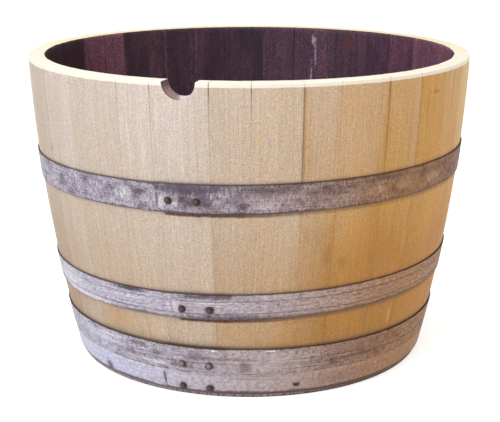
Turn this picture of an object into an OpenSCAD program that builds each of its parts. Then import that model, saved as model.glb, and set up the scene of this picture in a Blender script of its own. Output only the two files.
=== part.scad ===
// Barrel planter: the lower half of an oak wine barrel, sawn through just below its bilge.
// Staves stand face to face round a jointed head, and lapped and riveted steel hoops bind them.
// Millimetres, +Z up, origin in the middle of the foot. Angles count from the front (-Y),
// anticlockwise as seen from above.

/* [Barrel] */
// Height from the ground to the sawn rim
barrel_h = 473; // [440:1:520]
// Outside radius that the staves would reach at the rim if its edge were sharp
rim_r = 345; // [325:1:365]
// Outside radius at the ground
foot_r = 278; // [262:1:292]
// How far the staves bulge past a straight line from foot to rim
stave_bow = 12; // [6:0.5:18]

/* [Staves] */
// Thickness of a stave
stave_t = 26; // [22:0.5:32]
// Broken outer edge along the sawn rim, at 45 degrees
rim_chamfer = 4.5; // [1:0.5:8]
// Height of the bevel inside the stave ends
chime_bevel_h = 13; // [8:1:16]
// Flat end face left between the bevel and the outside
chime_flat = 11; // [8:0.5:14]

/* [Croze] */
// Height of the groove that holds the head, at its middle
croze_z = 44; // [40:1:60]
// Opening of the groove
croze_w = 6; // [4:0.5:9]
// Depth of the groove
croze_d = 5; // [3:0.5:6]
// Depth of the planed hollow that the groove is cut in
howel_d = 4; // [1:0.5:5]
// Half height of the planed hollow
howel_half = 30; // [20:1:32]

/* [Bung hole] */
// Turn of the bung stave from the front
bung_angle = -16; // [-30:1:0]
// Radius of the sawn-through bung hole at the outer face
bung_r = 24; // [18:0.5:26]
// How much narrower its radius is at the inner face
bung_taper = 1.5; // [0:0.1:3]

/* [Head] */
// Thickness of the head boards
head_t = 22; // [18:0.5:26]
// Width of the bevel that thins the head to its groove
head_bevel = 18; // [12:1:24]
// Turn of the head's joints from the side-to-side direction
head_turn = 9; // [0:1:30]
// Play between the head's edge and its groove, all round
head_play = 0.3; // [0.1:0.1:0.6]
// Radius of the dowels between the head boards
dowel_r = 4; // [3:0.5:5]
// Length of a dowel
dowel_l = 48; // [36:1:56]
// Radial play of a dowel in its hole
dowel_play = 0.05; // [0.02:0.01:0.1]
// Radius of a drain hole
drain_r = 6.5; // [4:0.5:9]
// Distance of the outer drain holes from the middle, along the boards
drain_reach = 168; // [150:1:185]

/* [Hoop steel] */
// Thickness of the hoop strip
hoop_t = 1.8; // [1:0.1:2.5]
// Play between a hoop and the staves, and between the layers of a lap
hoop_play = 0.2; // [0.1:0.05:0.3]
// Length over which the outer layer steps down beside the lap
joggle_l = 16; // [12:1:24]
// Length that the tucked end stops short of that step
tuck_l = 6; // [3:1:12]
// Radius of the rivet shanks
rivet_r = 3; // [2:0.5:4]
// Radius of the rivet heads
rivet_head_r = 5.2; // [4:0.1:6.5]
// Height of the rivet heads
rivet_head_h = 3; // [1.5:0.1:4]
// Radial play of a rivet in its hole
rivet_play = 0.05; // [0.02:0.01:0.1]
// Distance between the two rivets of a lap
rivet_pitch = 40.5; // [30:0.5:42]

/* [Bilge hoop] */
// Height of its middle
bilge_z = 313.5; // [290:0.5:340]
// Width of the strip
bilge_w = 41; // [32:0.5:50]
// Tilt, right side up
bilge_tilt = 0.9; // [0:0.1:1.5]
// Angle of the strip's visible end
bilge_end = -22.5; // [-30:0.1:-20]
// Length of the lap
bilge_lap = 77; // [76:1:90]
// Distance of the first rivet from the visible end
bilge_rivet_in = 18; // [10:0.5:20]
// How far the rivets sit below the middle
bilge_drop = 3.5; // [0:0.5:10]

/* [Quarter hoop] */
// Height of its middle
quarter_z = 151.3; // [125:0.1:190]
// Width of the strip
quarter_w = 38.5; // [30:0.5:46]
// Tilt, right side up
quarter_tilt = 1.4; // [0:0.1:2]
// Angle of the strip's visible end
quarter_end = -20.6; // [-30:0.1:-18]
// Length of the lap
quarter_lap = 70; // [70:1:90]
// Distance of the first rivet from the visible end
quarter_rivet_in = 15; // [10:0.5:16]
// How far the rivets sit below the middle
quarter_drop = 4; // [0:0.5:10]

/* [Collar hoop] */
// Gap between its lower edge and the chime hoop
collar_gap = 0.4; // [0.2:0.1:3]
// Width of the strip
collar_w = 41; // [30:0.5:46]
// Angle of the strip's visible end
collar_end = -24.5; // [-30:0.1:-20]
// Length of the lap
collar_lap = 84; // [82:1:90]
// Distance of the first rivet from the visible end
collar_rivet_in = 26.5; // [10:0.5:28]
// How far the rivets sit below the middle
collar_drop = 7.5; // [0:0.5:10]

/* [Chime hoop] */
// Height of its lower edge over the ground
chime_low = 9; // [4:0.5:14]
// Width of the strip
chime_w = 31.5; // [28:0.5:40]
// Angle of the strip's visible end
chime_end = -26.3; // [-34:0.1:-20]
// Length of the lap
chime_lap = 88; // [88:1:96]
// Distance of the first rivet from the visible end
chime_rivet_in = 32; // [10:0.5:32]
// How far the rivets sit below the middle
chime_drop = 9; // [0:0.5:9]

/* [Hidden] */
$fn = 180;
// Widths of the staves along the rim, from the bung stave anticlockwise
stave_w = [84, 57, 71, 54, 77, 62, 78, 48, 68, 64, 59, 66, 63, 67, 78, 48,
           88, 63, 67, 69, 63, 93, 50, 61, 72, 66, 76, 65, 70, 73, 96, 52];
// Widths of the head boards, from the front one to the back one
board_w = [66, 80, 84, 82, 76, 88, 66];
// Drain holes: the board each is drilled in and its share of the reach along that board
drains = [[1, 0], [3, -1], [3, 0], [3, 1], [5, 0]];
// Share of a joint's half length at which its two dowels sit
dowel_share = 0.5;
// Steps along a stave's outside and inside, and across its planed hollow
side_steps = 14;
howel_steps = 5;
// Slack that cutting bodies reach past what they cut
over = 1;
// Length by which the step of a strip runs into the stretches beside it
bite = 0.6;

stave_n = len(stave_w);
board_n = len(board_w);
oak = [0.80, 0.70, 0.58];
stained_oak = [0.62, 0.47, 0.38];
beech = [0.85, 0.72, 0.52];
zinc = [0.68, 0.66, 0.70];
rust = [0.33, 0.21, 0.18];

function sum(v, n) = n <= 0 ? 0 : v[n - 1] + sum(v, n - 1);
function two_digits(n) = n < 10 ? str("0", n) : str(n);
function stave_name(i) = i == 0 ? "bung_stave" : str("stave_", two_digits(i));
function board_name(i) = str("head_board_", i + 1);

// Outside and inside of the staves at height z
function share(z) = z / barrel_h;
function out_r(z) =
    foot_r + (rim_r - foot_r) * share(z) + 4 * stave_bow * share(z) * (1 - share(z));
function howel(z) = max(0, howel_d * (1 - pow((z - croze_z) / howel_half, 2)));
function in_r(z) = out_r(z) - stave_t + howel(z);
// Slope of the outside, in degrees from upright
function slope(z) = atan((rim_r - foot_r + 4 * stave_bow * (1 - 2 * share(z))) / barrel_h);

// Angles of the joints between staves
bung_width = 360 * stave_w[0] / sum(stave_w, stave_n);
function joint_angle(i) =
    bung_angle - bung_width / 2 + 360 * sum(stave_w, i) / sum(stave_w, stave_n);

// Places along a strip: the length l round the barrel at height z as an angle
function turn(l, z) = l / out_r(z) * 180 / PI;
// Height of a hoop's middle line at an angle, when the hoop is tilted
function tilted(z, tilt, angle) = z + out_r(z) * sin(angle) * tan(tilt);

howel_top = croze_z + howel_half;
howel_low = max(chime_bevel_h, croze_z - howel_half);
croze_r = in_r(croze_z) + croze_d;
head_r = croze_r - head_play;
tongue_t = croze_w - 2 * head_play;
layer = hoop_t + hoop_play;
collar_z = chime_low + chime_w + collar_gap + collar_w / 2;
chime_z = chime_low + chime_w / 2;
board_scale = 2 * head_r / sum(board_w, board_n);
function joint_y(i) = sum(board_w, i) * board_scale - head_r;
function board_y(i) = (joint_y(i) + joint_y(i + 1)) / 2;

stave_names = [for (i = [0:stave_n - 1]) stave_name(i)];
board_names = [for (i = [0:board_n - 1]) board_name(i)];

// Turns what is drawn along +X, or starts there, to an angle counted from the front
module at(angle) {
    rotate([0, 0, angle - 90]) children();
}

// Cross-section of a stave wall: radius along x, height along y
module stave_section() {
    edge_z = barrel_h - rim_chamfer;
    outside = [for (i = [0:side_steps]) let (z = edge_z * i / side_steps) [out_r(z), z]];
    rim = [[out_r(edge_z) - rim_chamfer, barrel_h]];
    inside = [for (i = [0:side_steps])
        let (z = barrel_h - (barrel_h - howel_top) * i / side_steps) [in_r(z), z]];
    over_groove = [for (i = [1:howel_steps])
        let (z = howel_top + (croze_z + croze_w / 2 - howel_top) * i / howel_steps) [in_r(z), z]];
    groove = [for (side = [1, -1]) [croze_r, croze_z + side * croze_w / 2]];
    under_groove = [for (i = [0:howel_steps])
        let (z = croze_z - croze_w / 2 + (howel_low - croze_z + croze_w / 2) * i / howel_steps)
        [in_r(z), z]];
    foot = [[in_r(howel_low), chime_bevel_h], [out_r(0) - chime_flat, 0]];
    polygon(concat(outside, rim, inside, over_groove, groove, under_groove, foot));
}

// One stave, between its two radial joints
module stave(i) {
    color(oak) difference() {
        at(joint_angle(i)) rotate_extrude(angle = joint_angle(i + 1) - joint_angle(i))
            stave_section();
        if (i == 0) bung_hole();
    }
}

// Half of the bung hole: the saw cut runs through its centre
module bung_hole() {
    deep = stave_t + 2 * over;
    fall = bung_taper * over / stave_t;
    at(bung_angle) translate([rim_r - stave_t - over, 0, barrel_h]) rotate([0, 90, 0])
        cylinder(h = deep, r1 = bung_r - bung_taper - fall, r2 = bung_r + fall);
}

// The whole head before it is split into boards
module head_disc() {
    flat_r = head_r - head_bevel;
    rotate_extrude() polygon([
        [0, croze_z - head_t / 2], [flat_r, croze_z - head_t / 2],
        [head_r, croze_z - tongue_t / 2], [head_r, croze_z + tongue_t / 2],
        [flat_r, croze_z + head_t / 2], [0, croze_z + head_t / 2]]);
}

// Places of the two dowels in the joint below board i
function dowel_x(i) = dowel_share * sqrt(pow(head_r, 2) - pow(joint_y(i), 2));

// Dowels of one joint, or their holes when play is given
module joint_dowels(i, play = 0) {
    for (side = [-1, 1])
        translate([side * dowel_x(i), joint_y(i), croze_z]) rotate([90, 0, 0])
            cylinder(h = dowel_l + 2 * play, r = dowel_r + play, center = true);
}

// One head board: its slice of the disc, less its dowel holes and drain holes
module head_board(i) {
    color(stained_oak) rotate([0, 0, head_turn]) difference() {
        intersection() {
            head_disc();
            translate([-2 * head_r, joint_y(i), 0])
                cube([4 * head_r, joint_y(i + 1) - joint_y(i), 2 * croze_z]);
        }
        if (i > 0) joint_dowels(i, dowel_play);
        if (i < board_n - 1) joint_dowels(i + 1, dowel_play);
        for (d = drains) if (d[0] == i)
            translate([d[1] * drain_reach, board_y(i), croze_z])
                cylinder(h = head_t + 2 * over, r = drain_r, center = true);
    }
}

module head_dowels() {
    color(beech) rotate([0, 0, head_turn])
        for (i = [1:board_n - 1]) joint_dowels(i);
}

// Cross-section of a hoop strip laid round the staves, lifted off them
module strip_section(z, reach, lift) {
    steps = 4;
    heights = [for (i = [0:steps]) z - reach + 2 * reach * i / steps];
    inner = [for (h = heights) [out_r(h) + lift, h]];
    outer = [for (i = [steps:-1:0]) [out_r(heights[i]) + lift + hoop_t, heights[i]]];
    polygon(concat(inner, outer));
}

// Straight stretch that brings the strip down one layer, from an angle on
module joggle(z, reach, from) {
    half = joggle_l / 2 + bite;
    sag = pow(joggle_l / 2, 2) / (2 * out_r(z));
    high = hoop_play + layer;
    low = hoop_play;
    at(from + turn(joggle_l, z) / 2) translate([out_r(z) - sag, 0, z]) rotate([0, slope(z), 0])
        translate([0, 0, -reach]) linear_extrude(2 * reach)
            polygon([[high, -half], [high + hoop_t, -half], [low + hoop_t, half], [low, half]]);
}

// One hoop: the strip runs once round the staves, steps over its own end and is riveted there
module hoop(z, w, tilt, end, lap, rivet_in, drop) {
    reach = w / 2 + out_r(z) * tan(tilt) + over;
    step_at = end + turn(lap, z);
    foot_at = step_at + turn(joggle_l, z);
    tucked = step_at + 360 - turn(tuck_l, z);
    color(zinc) difference() {
        intersection() {
            union() {
                at(foot_at) rotate_extrude(angle = tucked - foot_at)
                    strip_section(z, reach, hoop_play);
                at(end) rotate_extrude(angle = step_at - end)
                    strip_section(z, reach, hoop_play + layer);
                joggle(z, reach, step_at);
            }
            translate([0, 0, z]) rotate([0, -tilt, 0])
                cube([3 * rim_r, 3 * rim_r, w], center = true);
        }
        rivet_places(z, tilt, end, rivet_in, drop)
            translate([0, 0, -over]) cylinder(h = 2 * layer + 3 * over, r = rivet_r + rivet_play);
    }
}

// Puts its children on the staves' face at each rivet, with +Z out of the wood
module rivet_places(z, tilt, end, rivet_in, drop) {
    for (k = [0, 1]) {
        angle = end + turn(rivet_in + k * rivet_pitch, z);
        height = tilted(z, tilt, angle) - drop;
        at(angle) translate([out_r(height), 0, height]) rotate([0, 90 + slope(height), 0])
            children();
    }
}

// A rivet: shank through both layers and a domed head
module rivet(z, tilt, end, rivet_in, drop) {
    seat = hoop_play + layer + hoop_t;
    dome_r = (pow(rivet_head_r, 2) + pow(rivet_head_h, 2)) / (2 * rivet_head_h);
    color(rust) rivet_places(z, tilt, end, rivet_in, drop) {
        translate([0, 0, hoop_play]) cylinder(h = seat - hoop_play + over, r = rivet_r);
        translate([0, 0, seat + rivet_play]) intersection() {
            translate([0, 0, rivet_head_h - dome_r]) sphere(dome_r);
            translate([0, 0, dome_r]) cube(2 * dome_r, center = true);
        }
    }
}

module bilge_hoop() {
    hoop(bilge_z, bilge_w, bilge_tilt, bilge_end, bilge_lap, bilge_rivet_in, bilge_drop);
}
module quarter_hoop() {
    hoop(quarter_z, quarter_w, quarter_tilt, quarter_end, quarter_lap, quarter_rivet_in,
         quarter_drop);
}
module collar_hoop() {
    hoop(collar_z, collar_w, 0, collar_end, collar_lap, collar_rivet_in, collar_drop);
}
module chime_hoop() {
    hoop(chime_z, chime_w, 0, chime_end, chime_lap, chime_rivet_in, chime_drop);
}

module bilge_rivets() { rivet(bilge_z, bilge_tilt, bilge_end, bilge_rivet_in, bilge_drop); }
module quarter_rivets() {
    rivet(quarter_z, quarter_tilt, quarter_end, quarter_rivet_in, quarter_drop);
}
module collar_rivets() { rivet(collar_z, 0, collar_end, collar_rivet_in, collar_drop); }
module chime_rivets() { rivet(chime_z, 0, chime_end, chime_rivet_in, chime_drop); }

for (i = [0:stave_n - 1]) stave(i);
for (i = [0:board_n - 1]) head_board(i);
head_dowels();
bilge_hoop();
quarter_hoop();
collar_hoop();
chime_hoop();
bilge_rivets();
quarter_rivets();
collar_rivets();
chime_rivets();
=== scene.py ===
"""Half an oak wine barrel as a floor planter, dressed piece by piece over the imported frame.

Each stave, head board, hoop and rivet is modelled again in the place of its own node. Staves and
hoops start as straight blanks that are cut, shaped and then bent round the barrel, as a cooper
does it. Lengths are metres and +Z is up. Angles are degrees counted from the front (-Y),
anticlockwise as seen from above.
"""

import logging
import math
import random
from collections.abc import Iterable, Sequence
from dataclasses import dataclass
from enum import Enum, IntEnum
from typing import NamedTuple

import bmesh
import bpy
from bmesh.types import BMEdge, BMesh, BMFace, BMVert
from bpy.types import Material, Mesh, Node, NodeSocket, NodeTree, Object
from mathutils import Matrix, Vector, noise


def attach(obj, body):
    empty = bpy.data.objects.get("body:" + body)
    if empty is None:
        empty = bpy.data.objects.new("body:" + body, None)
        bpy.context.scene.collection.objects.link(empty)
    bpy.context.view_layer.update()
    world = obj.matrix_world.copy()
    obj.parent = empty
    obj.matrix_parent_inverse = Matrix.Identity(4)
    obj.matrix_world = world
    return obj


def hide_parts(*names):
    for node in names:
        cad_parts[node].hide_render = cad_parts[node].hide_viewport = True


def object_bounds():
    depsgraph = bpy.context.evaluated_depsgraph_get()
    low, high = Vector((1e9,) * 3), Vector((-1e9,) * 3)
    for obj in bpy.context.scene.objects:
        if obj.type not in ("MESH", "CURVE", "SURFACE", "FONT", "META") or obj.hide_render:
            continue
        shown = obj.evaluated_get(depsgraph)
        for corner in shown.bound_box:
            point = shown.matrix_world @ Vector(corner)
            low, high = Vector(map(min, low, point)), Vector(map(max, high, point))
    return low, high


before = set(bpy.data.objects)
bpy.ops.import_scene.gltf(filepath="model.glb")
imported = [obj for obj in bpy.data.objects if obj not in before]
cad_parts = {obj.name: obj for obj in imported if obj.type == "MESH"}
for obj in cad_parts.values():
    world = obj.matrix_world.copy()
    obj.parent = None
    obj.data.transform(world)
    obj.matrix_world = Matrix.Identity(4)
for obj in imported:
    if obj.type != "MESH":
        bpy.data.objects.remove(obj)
CAD_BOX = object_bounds()
MM = 0.001
SHARP = math.radians(38)
WHITE = (1.0, 1.0, 1.0, 1.0)
log = logging.getLogger("barrel")

Triple = tuple[float, float, float]
Colour = tuple[float, float, float, float]


def tint(*channels: int) -> Colour:
    """Linear shader colour of a screen colour's red, green and blue, 0 to 255."""
    shares = [channel / 255 for channel in channels]
    return (*(s / 12.92 if s <= 0.04045 else ((s + 0.055) / 1.055) ** 2.4 for s in shares), 1.0)


def between(value: float, low: float, high: float) -> float:
    """Share, 0 to 1, of the way that a value lies from low to high."""
    return min(1.0, max(0.0, (value - low) / (high - low)))


def eased(share: float) -> float:
    """Softens a share, 0 to 1, at both of its ends."""
    return share * share * (3 - 2 * share)


def stray(*place: float) -> float:
    """Random wander, -1 to 1, that is smooth from place to place."""
    return noise.noise(Vector(place))


def turn_of(degrees: float, axis: str = "Z") -> Matrix:
    """Turn by so many degrees about an axis."""
    return Matrix.Rotation(math.radians(degrees), 4, axis)


def along(table: Sequence[tuple[float, float]], place: float) -> float:
    """Reads a value by straight lines off rows of (place, value).

    Args:
        table: Rows in rising order of place.
        place: Where to read.

    Returns:
        The value there, held constant past both ends.
    """
    for (low, start), (high, end) in zip(table, table[1:]):
        if place <= high:
            return start + (end - start) * between(place, low, high)
    return table[-1][1]


@dataclass(frozen=True)
class BarrelShape:
    """Outline of the staves, with the bevel at the chime, the groove (croze) that holds the head
    and the planed hollow (howel) round it. The bow is their bulge past a straight line."""

    height: float
    rim_r: float = 345 * MM
    foot_r: float = 278 * MM
    bow: float = 12 * MM
    wall: float = 26 * MM
    chime_h: float = 14 * MM
    chime_flat: float = 11 * MM
    croze_z: float = 44 * MM
    croze_w: float = 6 * MM
    croze_d: float = 5 * MM
    howel_d: float = 4 * MM
    howel_half: float = 30 * MM

    def out_r(self, z: float) -> float:
        """Outside radius at height z."""
        share = z / self.height
        return self.foot_r + (self.rim_r - self.foot_r) * share + 4 * self.bow * share * (1 - share)

    def wall_at(self, z: float) -> float:
        """Thickness of the wall at height z, with the hollow and the end bevel.

        Args:
            z: The height.

        Returns:
            The thickness.
        """
        off = (max(z, self.chime_h) - self.croze_z) / self.howel_half
        full = self.wall - max(0.0, self.howel_d * (1 - off**2))
        return self.chime_flat + (full - self.chime_flat) * between(z, 0.0, self.chime_h)

    def slope(self, z: float) -> float:
        """Lean of the outside from upright at height z, in radians."""
        return math.atan((self.out_r(z + MM) - self.out_r(z - MM)) / (2 * MM))

    def spot(self, angle: float, depth: float, z: float) -> Vector:
        """Point at an angle in degrees and a height, so deep inside the outer face."""
        turn, radius = math.radians(angle), self.out_r(z) - depth
        return Vector((radius * math.sin(turn), -radius * math.cos(turn), z))

    def angle_of(self, length: float, z: float) -> float:
        """Angle in degrees that a length round the outside takes up at height z."""
        return math.degrees(length / self.out_r(z))


BARREL = BarrelShape(height=CAD_BOX[1].z)
BUNG_ANGLE = -16.0
BUNG_R = 24 * MM
BUNG_TAPER = 1.5 * MM


@dataclass(frozen=True)
class StaveLook:
    """Character of one stave.

    Attributes:
        tone: Lightness against the usual stave, as a share.
        warmth: 0 for grey-beige oak at the rim, 1 for orange-tan oak; its rise towards the right is
            partly painted warm light.
        wine: How pale and pink its stained inside is, 0 to 1, or how brown, down to -1; on the
            staves seen inside it also carries painted light and shade.
        gap: Opening of the joint on its left at the rim, in millimetres.
        line: Darkness of the line at that joint at the rim, 0 to 1.
        lasting: Share of that darkness that is left further down.
        fade: Distance in which it fades from the rim, in millimetres.
        spread: Width of that line's soft side, in millimetres.
        left: How much deeper the wood is beside its left joint, 0 to 1, partly a painted step of
            shade at that joint.
        right: How much deeper it is beside its right joint, 0 to 1, partly painted shade as well.
        crust: How much wine crust has settled inside on its left joint, 0 to 1.
    """

    tone: float = 0.0
    warmth: float = 0.4
    wine: float = 0.12
    gap: float = 0.3
    line: float = 0.4
    lasting: float = 0.2
    fade: float = 30.0
    spread: float = 0.7
    left: float = 0.0
    right: float = 0.0
    crust: float = 0.0


STAVE_LOOKS = {
    index: StaveLook(*row) for index, *row in (
        (0, 0.02, 0.04, 0.12, 0.05, 0.8, 0.03),
        (1, -0.03, 0.27, 0.12, 1.1, 1.0, 0.14, 16, 0.8, 0.15),
        (2, 0.0, 0.38, 0.12, 0.5, 1.0, 0.04, 28, 0.8, 0.0, 0.3),
        (3, -0.02, 0.54, 0.12, 0.06, 0.9, 0.03, 165, 1.0, 0.7, 0.5),
        (4, -0.01, 0.70, 0.12, 0.15, 0.45, 0.10, 16, 0.7, -0.1, 0.8),
        (5, 0.01, 0.82, 0.12, 0.35, 1.0, 0.10, 62, 0.9, 0.3, -0.5),
        (6, 0.01, 0.93, 0.12, 0.2, 0.85, 0.0, 40, 0.7, 1.0, -0.6),
        (7, 0.06, 0.80, 0.12, 0.2, 0.95, 0.1, 40, 0.9, -0.3), (8, 0.07, 0.72, 0.12, 0.2, 0.5),
        (10, 0.02, 0.84, 0.80), (11, 0.03, 0.68, 0.85), (12, -0.02, 0.78, 0.66, 0.5, 0.8),
        (13, 0.02, 0.58, 0.46), (14, -0.04, 0.70, 0.28), (15, 0.04, 0.45, 0.22),
        (16, -0.02, 0.50, 0.30), (17, 0.03, 0.40, 0.22, 0.6, 1.0, 0.9), (18, -0.05, 0.52, 0.10),
        (19, 0.0, 0.36, 0.04), (20, 0.05, 0.42, 0.02, 0.3, 0.2, 0.2, 30, 0.7, 0, 0, 0.55),
        (21, -0.03, 0.34, 0.04, 0.3, 0.2, 0.2, 30, 0.7, 0, 0, 0.7),
        (22, 0.02, 0.28, 0.72, 0.5, 0.9),
        (23, -0.04, 0.36, 0.60, 0.4, 0.8), (24, 0.03, 0.26, -0.7, 0.4, 0.7),
        (25, -0.04, 0.22, -0.5), (26, 0.0, 0.30, -0.6), (28, -0.11, 0.24, 0.12, 0.15, 0.3),
        (29, -0.01, 0.06, 0.12, 0.3, 0.5, 0.0, 9, 0.7, 0, -0.2),
        (30, -0.02, 0.14, 0.12, 0.06, 0.1, 0.3, 30, 0.7, 0.15),
        (31, 0.03, 0.06, 0.12, 0.2, 0.75, 0.06, 22, 0.6),
    )
}  # fmt: skip


# ---- shader wiring


class Value:
    """A number, colour or place that varies over the surface. Its arithmetic adds nodes."""

    def __init__(self, w: "Wiring", socket: NodeSocket) -> None:
        """Wraps the output of a node."""
        self.w, self.socket = w, socket

    def __add__(self, other: "Setting") -> "Value":
        """The sum."""
        return self.w.math("ADD", self, other)

    def __sub__(self, other: "Setting") -> "Value":
        """The difference."""
        return self.w.math("SUBTRACT", self, other)

    def __rsub__(self, other: float) -> "Value":
        """The difference from a number."""
        return self.w.math("SUBTRACT", other, self)

    def __mul__(self, other: "Setting") -> "Value":
        """The product."""
        return self.w.math("MULTIPLY", self, other)

    def ramp(self, low: "Setting", high: "Setting", kind: str = "SMOOTHSTEP") -> "Value":
        """Share, 0 to 1, that it has gone from low to high."""
        inputs = {"Value": self, "From Min": low, "From Max": high}
        return self.w.out("MapRange", inputs, interpolation_type=kind)


Setting = Value | float | tuple[float, ...]


class Wiring:
    """Adds nodes to one tree and joins them. Values and plain numbers mix freely."""

    def __init__(self, tree: NodeTree) -> None:
        """Starts on a tree."""
        self.tree = tree

    def add(
        self, kind: str, inputs: dict[str | int, Setting] | None = None, **settings: object
    ) -> Node:
        """Adds a node.

        Args:
            kind: Type of the node.
            inputs: What each named or numbered input is linked to or set to.
            **settings: Properties of the node.

        Returns:
            The node.
        """
        node = self.tree.nodes.new("ShaderNode" + kind)
        for name, value in settings.items():
            setattr(node, name, value)
        for key, value in (inputs or {}).items():
            self.feed(node.inputs[key], value)
        return node

    def feed(self, socket: NodeSocket, value: Setting) -> None:
        """Links an input to a value, or sets it to a plain one.

        Args:
            socket: The input.
            value: What it gets.
        """
        if isinstance(value, Value):
            self.tree.links.new(value.socket, socket)
        else:
            socket.default_value = value

    def out(
        self, kind: str, inputs: dict | None = None, output: int | str = 0, **settings: object
    ) -> Value:
        """One output of a new node."""
        return Value(self, self.add(kind, inputs, **settings).outputs[output])

    def math(self, operation: str, *values: Setting) -> Value:
        """Result of a math node."""
        return self.out("Math", dict(enumerate(values)), operation=operation)

    def vector(self, operation: str, *values: Setting, output: int = 0, **named: Setting) -> Value:
        """Result of a vector math node: output 0 is a vector, 1 a number."""
        inputs = dict(enumerate(values)) | named
        return self.out("VectorMath", inputs, output, operation=operation)

    def split(self, place: Value) -> tuple[Value, Value, Value]:
        """The three parts of a vector."""
        return tuple(Value(self, part) for part in self.add("SeparateXYZ", {0: place}).outputs)

    def noise(self, place: Value, scale: Triple, detail: float = 2.0, rough: float = 0.5) -> Value:
        """Random pattern of soft spots, 0.5 on average.

        Args:
            place: Where it is read.
            scale: Its fineness along each axis.
            detail: How many finer layers it has.
            rough: Strength of each against the one before.

        Returns:
            Its value.
        """
        place = self.vector("MULTIPLY", place, scale)
        inputs = {"Vector": place, "Scale": 1.0, "Detail": detail, "Roughness": rough}
        return self.out("TexNoise", inputs)

    def mix(self, share: Setting, start: Setting, end: Setting, blend: str = "MIX") -> Value:
        """A colour between two others, or joined with the second as the blend says."""
        inputs = {0: share, 6: start, 7: end}
        return self.out("Mix", inputs, 2, data_type="RGBA", blend_type=blend)

    def blend(self, share: Setting, start: Setting, end: Setting) -> Value:
        """A number between two others."""
        return self.out("Mix", {0: share, 2: start, 3: end}, data_type="FLOAT")

    def dye(self, share: Setting, colour: Setting, cast: Setting) -> Value:
        """A colour multiplied by another as far as a share says."""
        return self.mix(share, colour, cast, "MULTIPLY")

    def attribute(self, name: str) -> Value:
        """A vector that is stored on the mesh."""
        return self.out("Attribute", output="Vector", attribute_name=name)

    def parts(self, name: str) -> tuple[Value, Value, Value]:
        """The three parts of a stored vector."""
        return self.split(self.attribute(name))

    def place(self) -> Value:
        """Place on the object, in metres."""
        return self.out("TexCoord", output="Object")


class Effect:
    """A shader node group that is built once and placed in each material with its own values.

    Attributes:
        takes: Inputs with their first values: a number, a vector or a colour.
        gives: Names of the outputs.
    """

    takes: dict[str, float | tuple[float, ...]] = {}
    gives: tuple[str, ...] = ()

    def wire(self, w: Wiring, *given: Value) -> tuple[Value, ...]:
        """Wires the inside of the group.

        Args:
            w: Wiring of the group's tree.
            *given: The group's inputs.

        Returns:
            What feeds each output.
        """
        raise NotImplementedError

    @classmethod
    def group(cls) -> NodeTree:
        """The group's tree, built on the first call.

        Returns:
            The tree.
        """
        known = bpy.data.node_groups.get(cls.__name__)
        if known:
            return known
        tree = bpy.data.node_groups.new(cls.__name__, "ShaderNodeTree")
        kinds = {1: "NodeSocketFloat", 3: "NodeSocketVector", 4: "NodeSocketColor"}
        for name, value in cls.takes.items():
            kind = kinds[len(value) if isinstance(value, tuple) else 1]
            socket = tree.interface.new_socket(name, in_out="INPUT", socket_type=kind)
            socket.default_value = value
        for name in cls.gives:
            kind = kinds[4 if name == "Color" else 1]
            tree.interface.new_socket(name, in_out="OUTPUT", socket_type=kind)
        w = Wiring(tree)
        start, end = (tree.nodes.new(f"NodeGroup{way}") for way in ("Input", "Output"))
        given = [Value(w, start.outputs[name]) for name in cls.takes]
        for name, value in zip(cls.gives, cls().wire(w, *given)):
            w.feed(end.inputs[name], value)
        return tree

    @classmethod
    def put(cls, w: Wiring, *values: Setting) -> tuple[Value, ...]:
        """Places the group in a material with a value for each input, and returns its outputs."""
        node = w.add("Group", node_tree=cls.group(), inputs=dict(enumerate(values)))
        return tuple(Value(w, socket) for socket in node.outputs)


class OakFigure(Effect):
    """Straight-grained oak: slow bands, fine lines, rays, fibres and short dark pores."""

    takes = {"Place": (0.0,) * 3, "Pale": WHITE, "Deep": WHITE, "Contrast": 1.0, "Pores": 0.4}
    gives = ("Color", "Height")

    def wire(self, w: Wiring, *given: Value) -> tuple[Value, ...]:
        """Wires bands, lines, fibres, rays and pores.

        Args:
            w: Wiring of the group's tree.
            *given: The group's inputs.

        Returns:
            Their colour and height.
        """
        place, pale, deep, contrast, pored = given
        shift = (w.noise(place, (9, 9, 2.2)) - 0.5) * 0.02
        wavy = w.vector("ADD", place, w.out("CombineXYZ", {0: shift, 1: shift}))
        bands = w.noise(place, (26, 12, 1.7))
        lines = w.noise(wavy, (600, 300, 3.5), 3, 0.6)
        fibres = w.noise(wavy, (1300, 1300, 26))
        pores = w.noise(wavy, (1000, 1000, 120), 1).ramp(0.60, 0.72) * pored
        rays = w.noise(wavy, (120, 120, 420)).ramp(0.60, 0.72)
        mixed = (bands - 0.5) * 0.45 + (lines - 0.5) * 1.1 + (fibres - 0.5) + rays * 0.12
        colour = w.mix(mixed * contrast + 0.5, deep, pale)
        darker = w.mix(0.6, deep, (0.02, 0.012, 0.008, 1.0))
        return w.mix(pores, colour, darker), lines + fibres * 0.5 - pores * 0.8


class EndGrain(Effect):
    """Oak cut across: year rings crossed by rays, with open pores."""

    takes = {"Place": (0.0,) * 3, "Pale": WHITE, "Deep": WHITE, "Contrast": 0.5}
    gives = ("Color", "Height")
    ring = 2.6 * MM

    def wire(self, w: Wiring, *given: Value) -> tuple[Value, ...]:
        """Wires rings, rays and pores.

        Args:
            w: Wiring of the group's tree.
            *given: The group's inputs.

        Returns:
            Their colour and height.
        """
        place, pale, deep, contrast = given
        across, depth, _ = w.split(place)
        radius = depth + w.noise(place, (40, 40, 0)) * 0.004 + across * across * 4.0
        rings = w.math("SINE", radius * (math.tau / self.ring)) * 0.5 + 0.5
        rays = w.noise(place, (900, 60, 0), 1).ramp(0.55, 0.68)
        pores = w.noise(place, (1500, 1500, 0), 1).ramp(0.6, 0.7)
        dark = rings * 0.55 + pores * 0.5 - rays * 0.3
        return w.mix(dark * contrast, pale, deep), rays * 0.4 - pores


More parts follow.
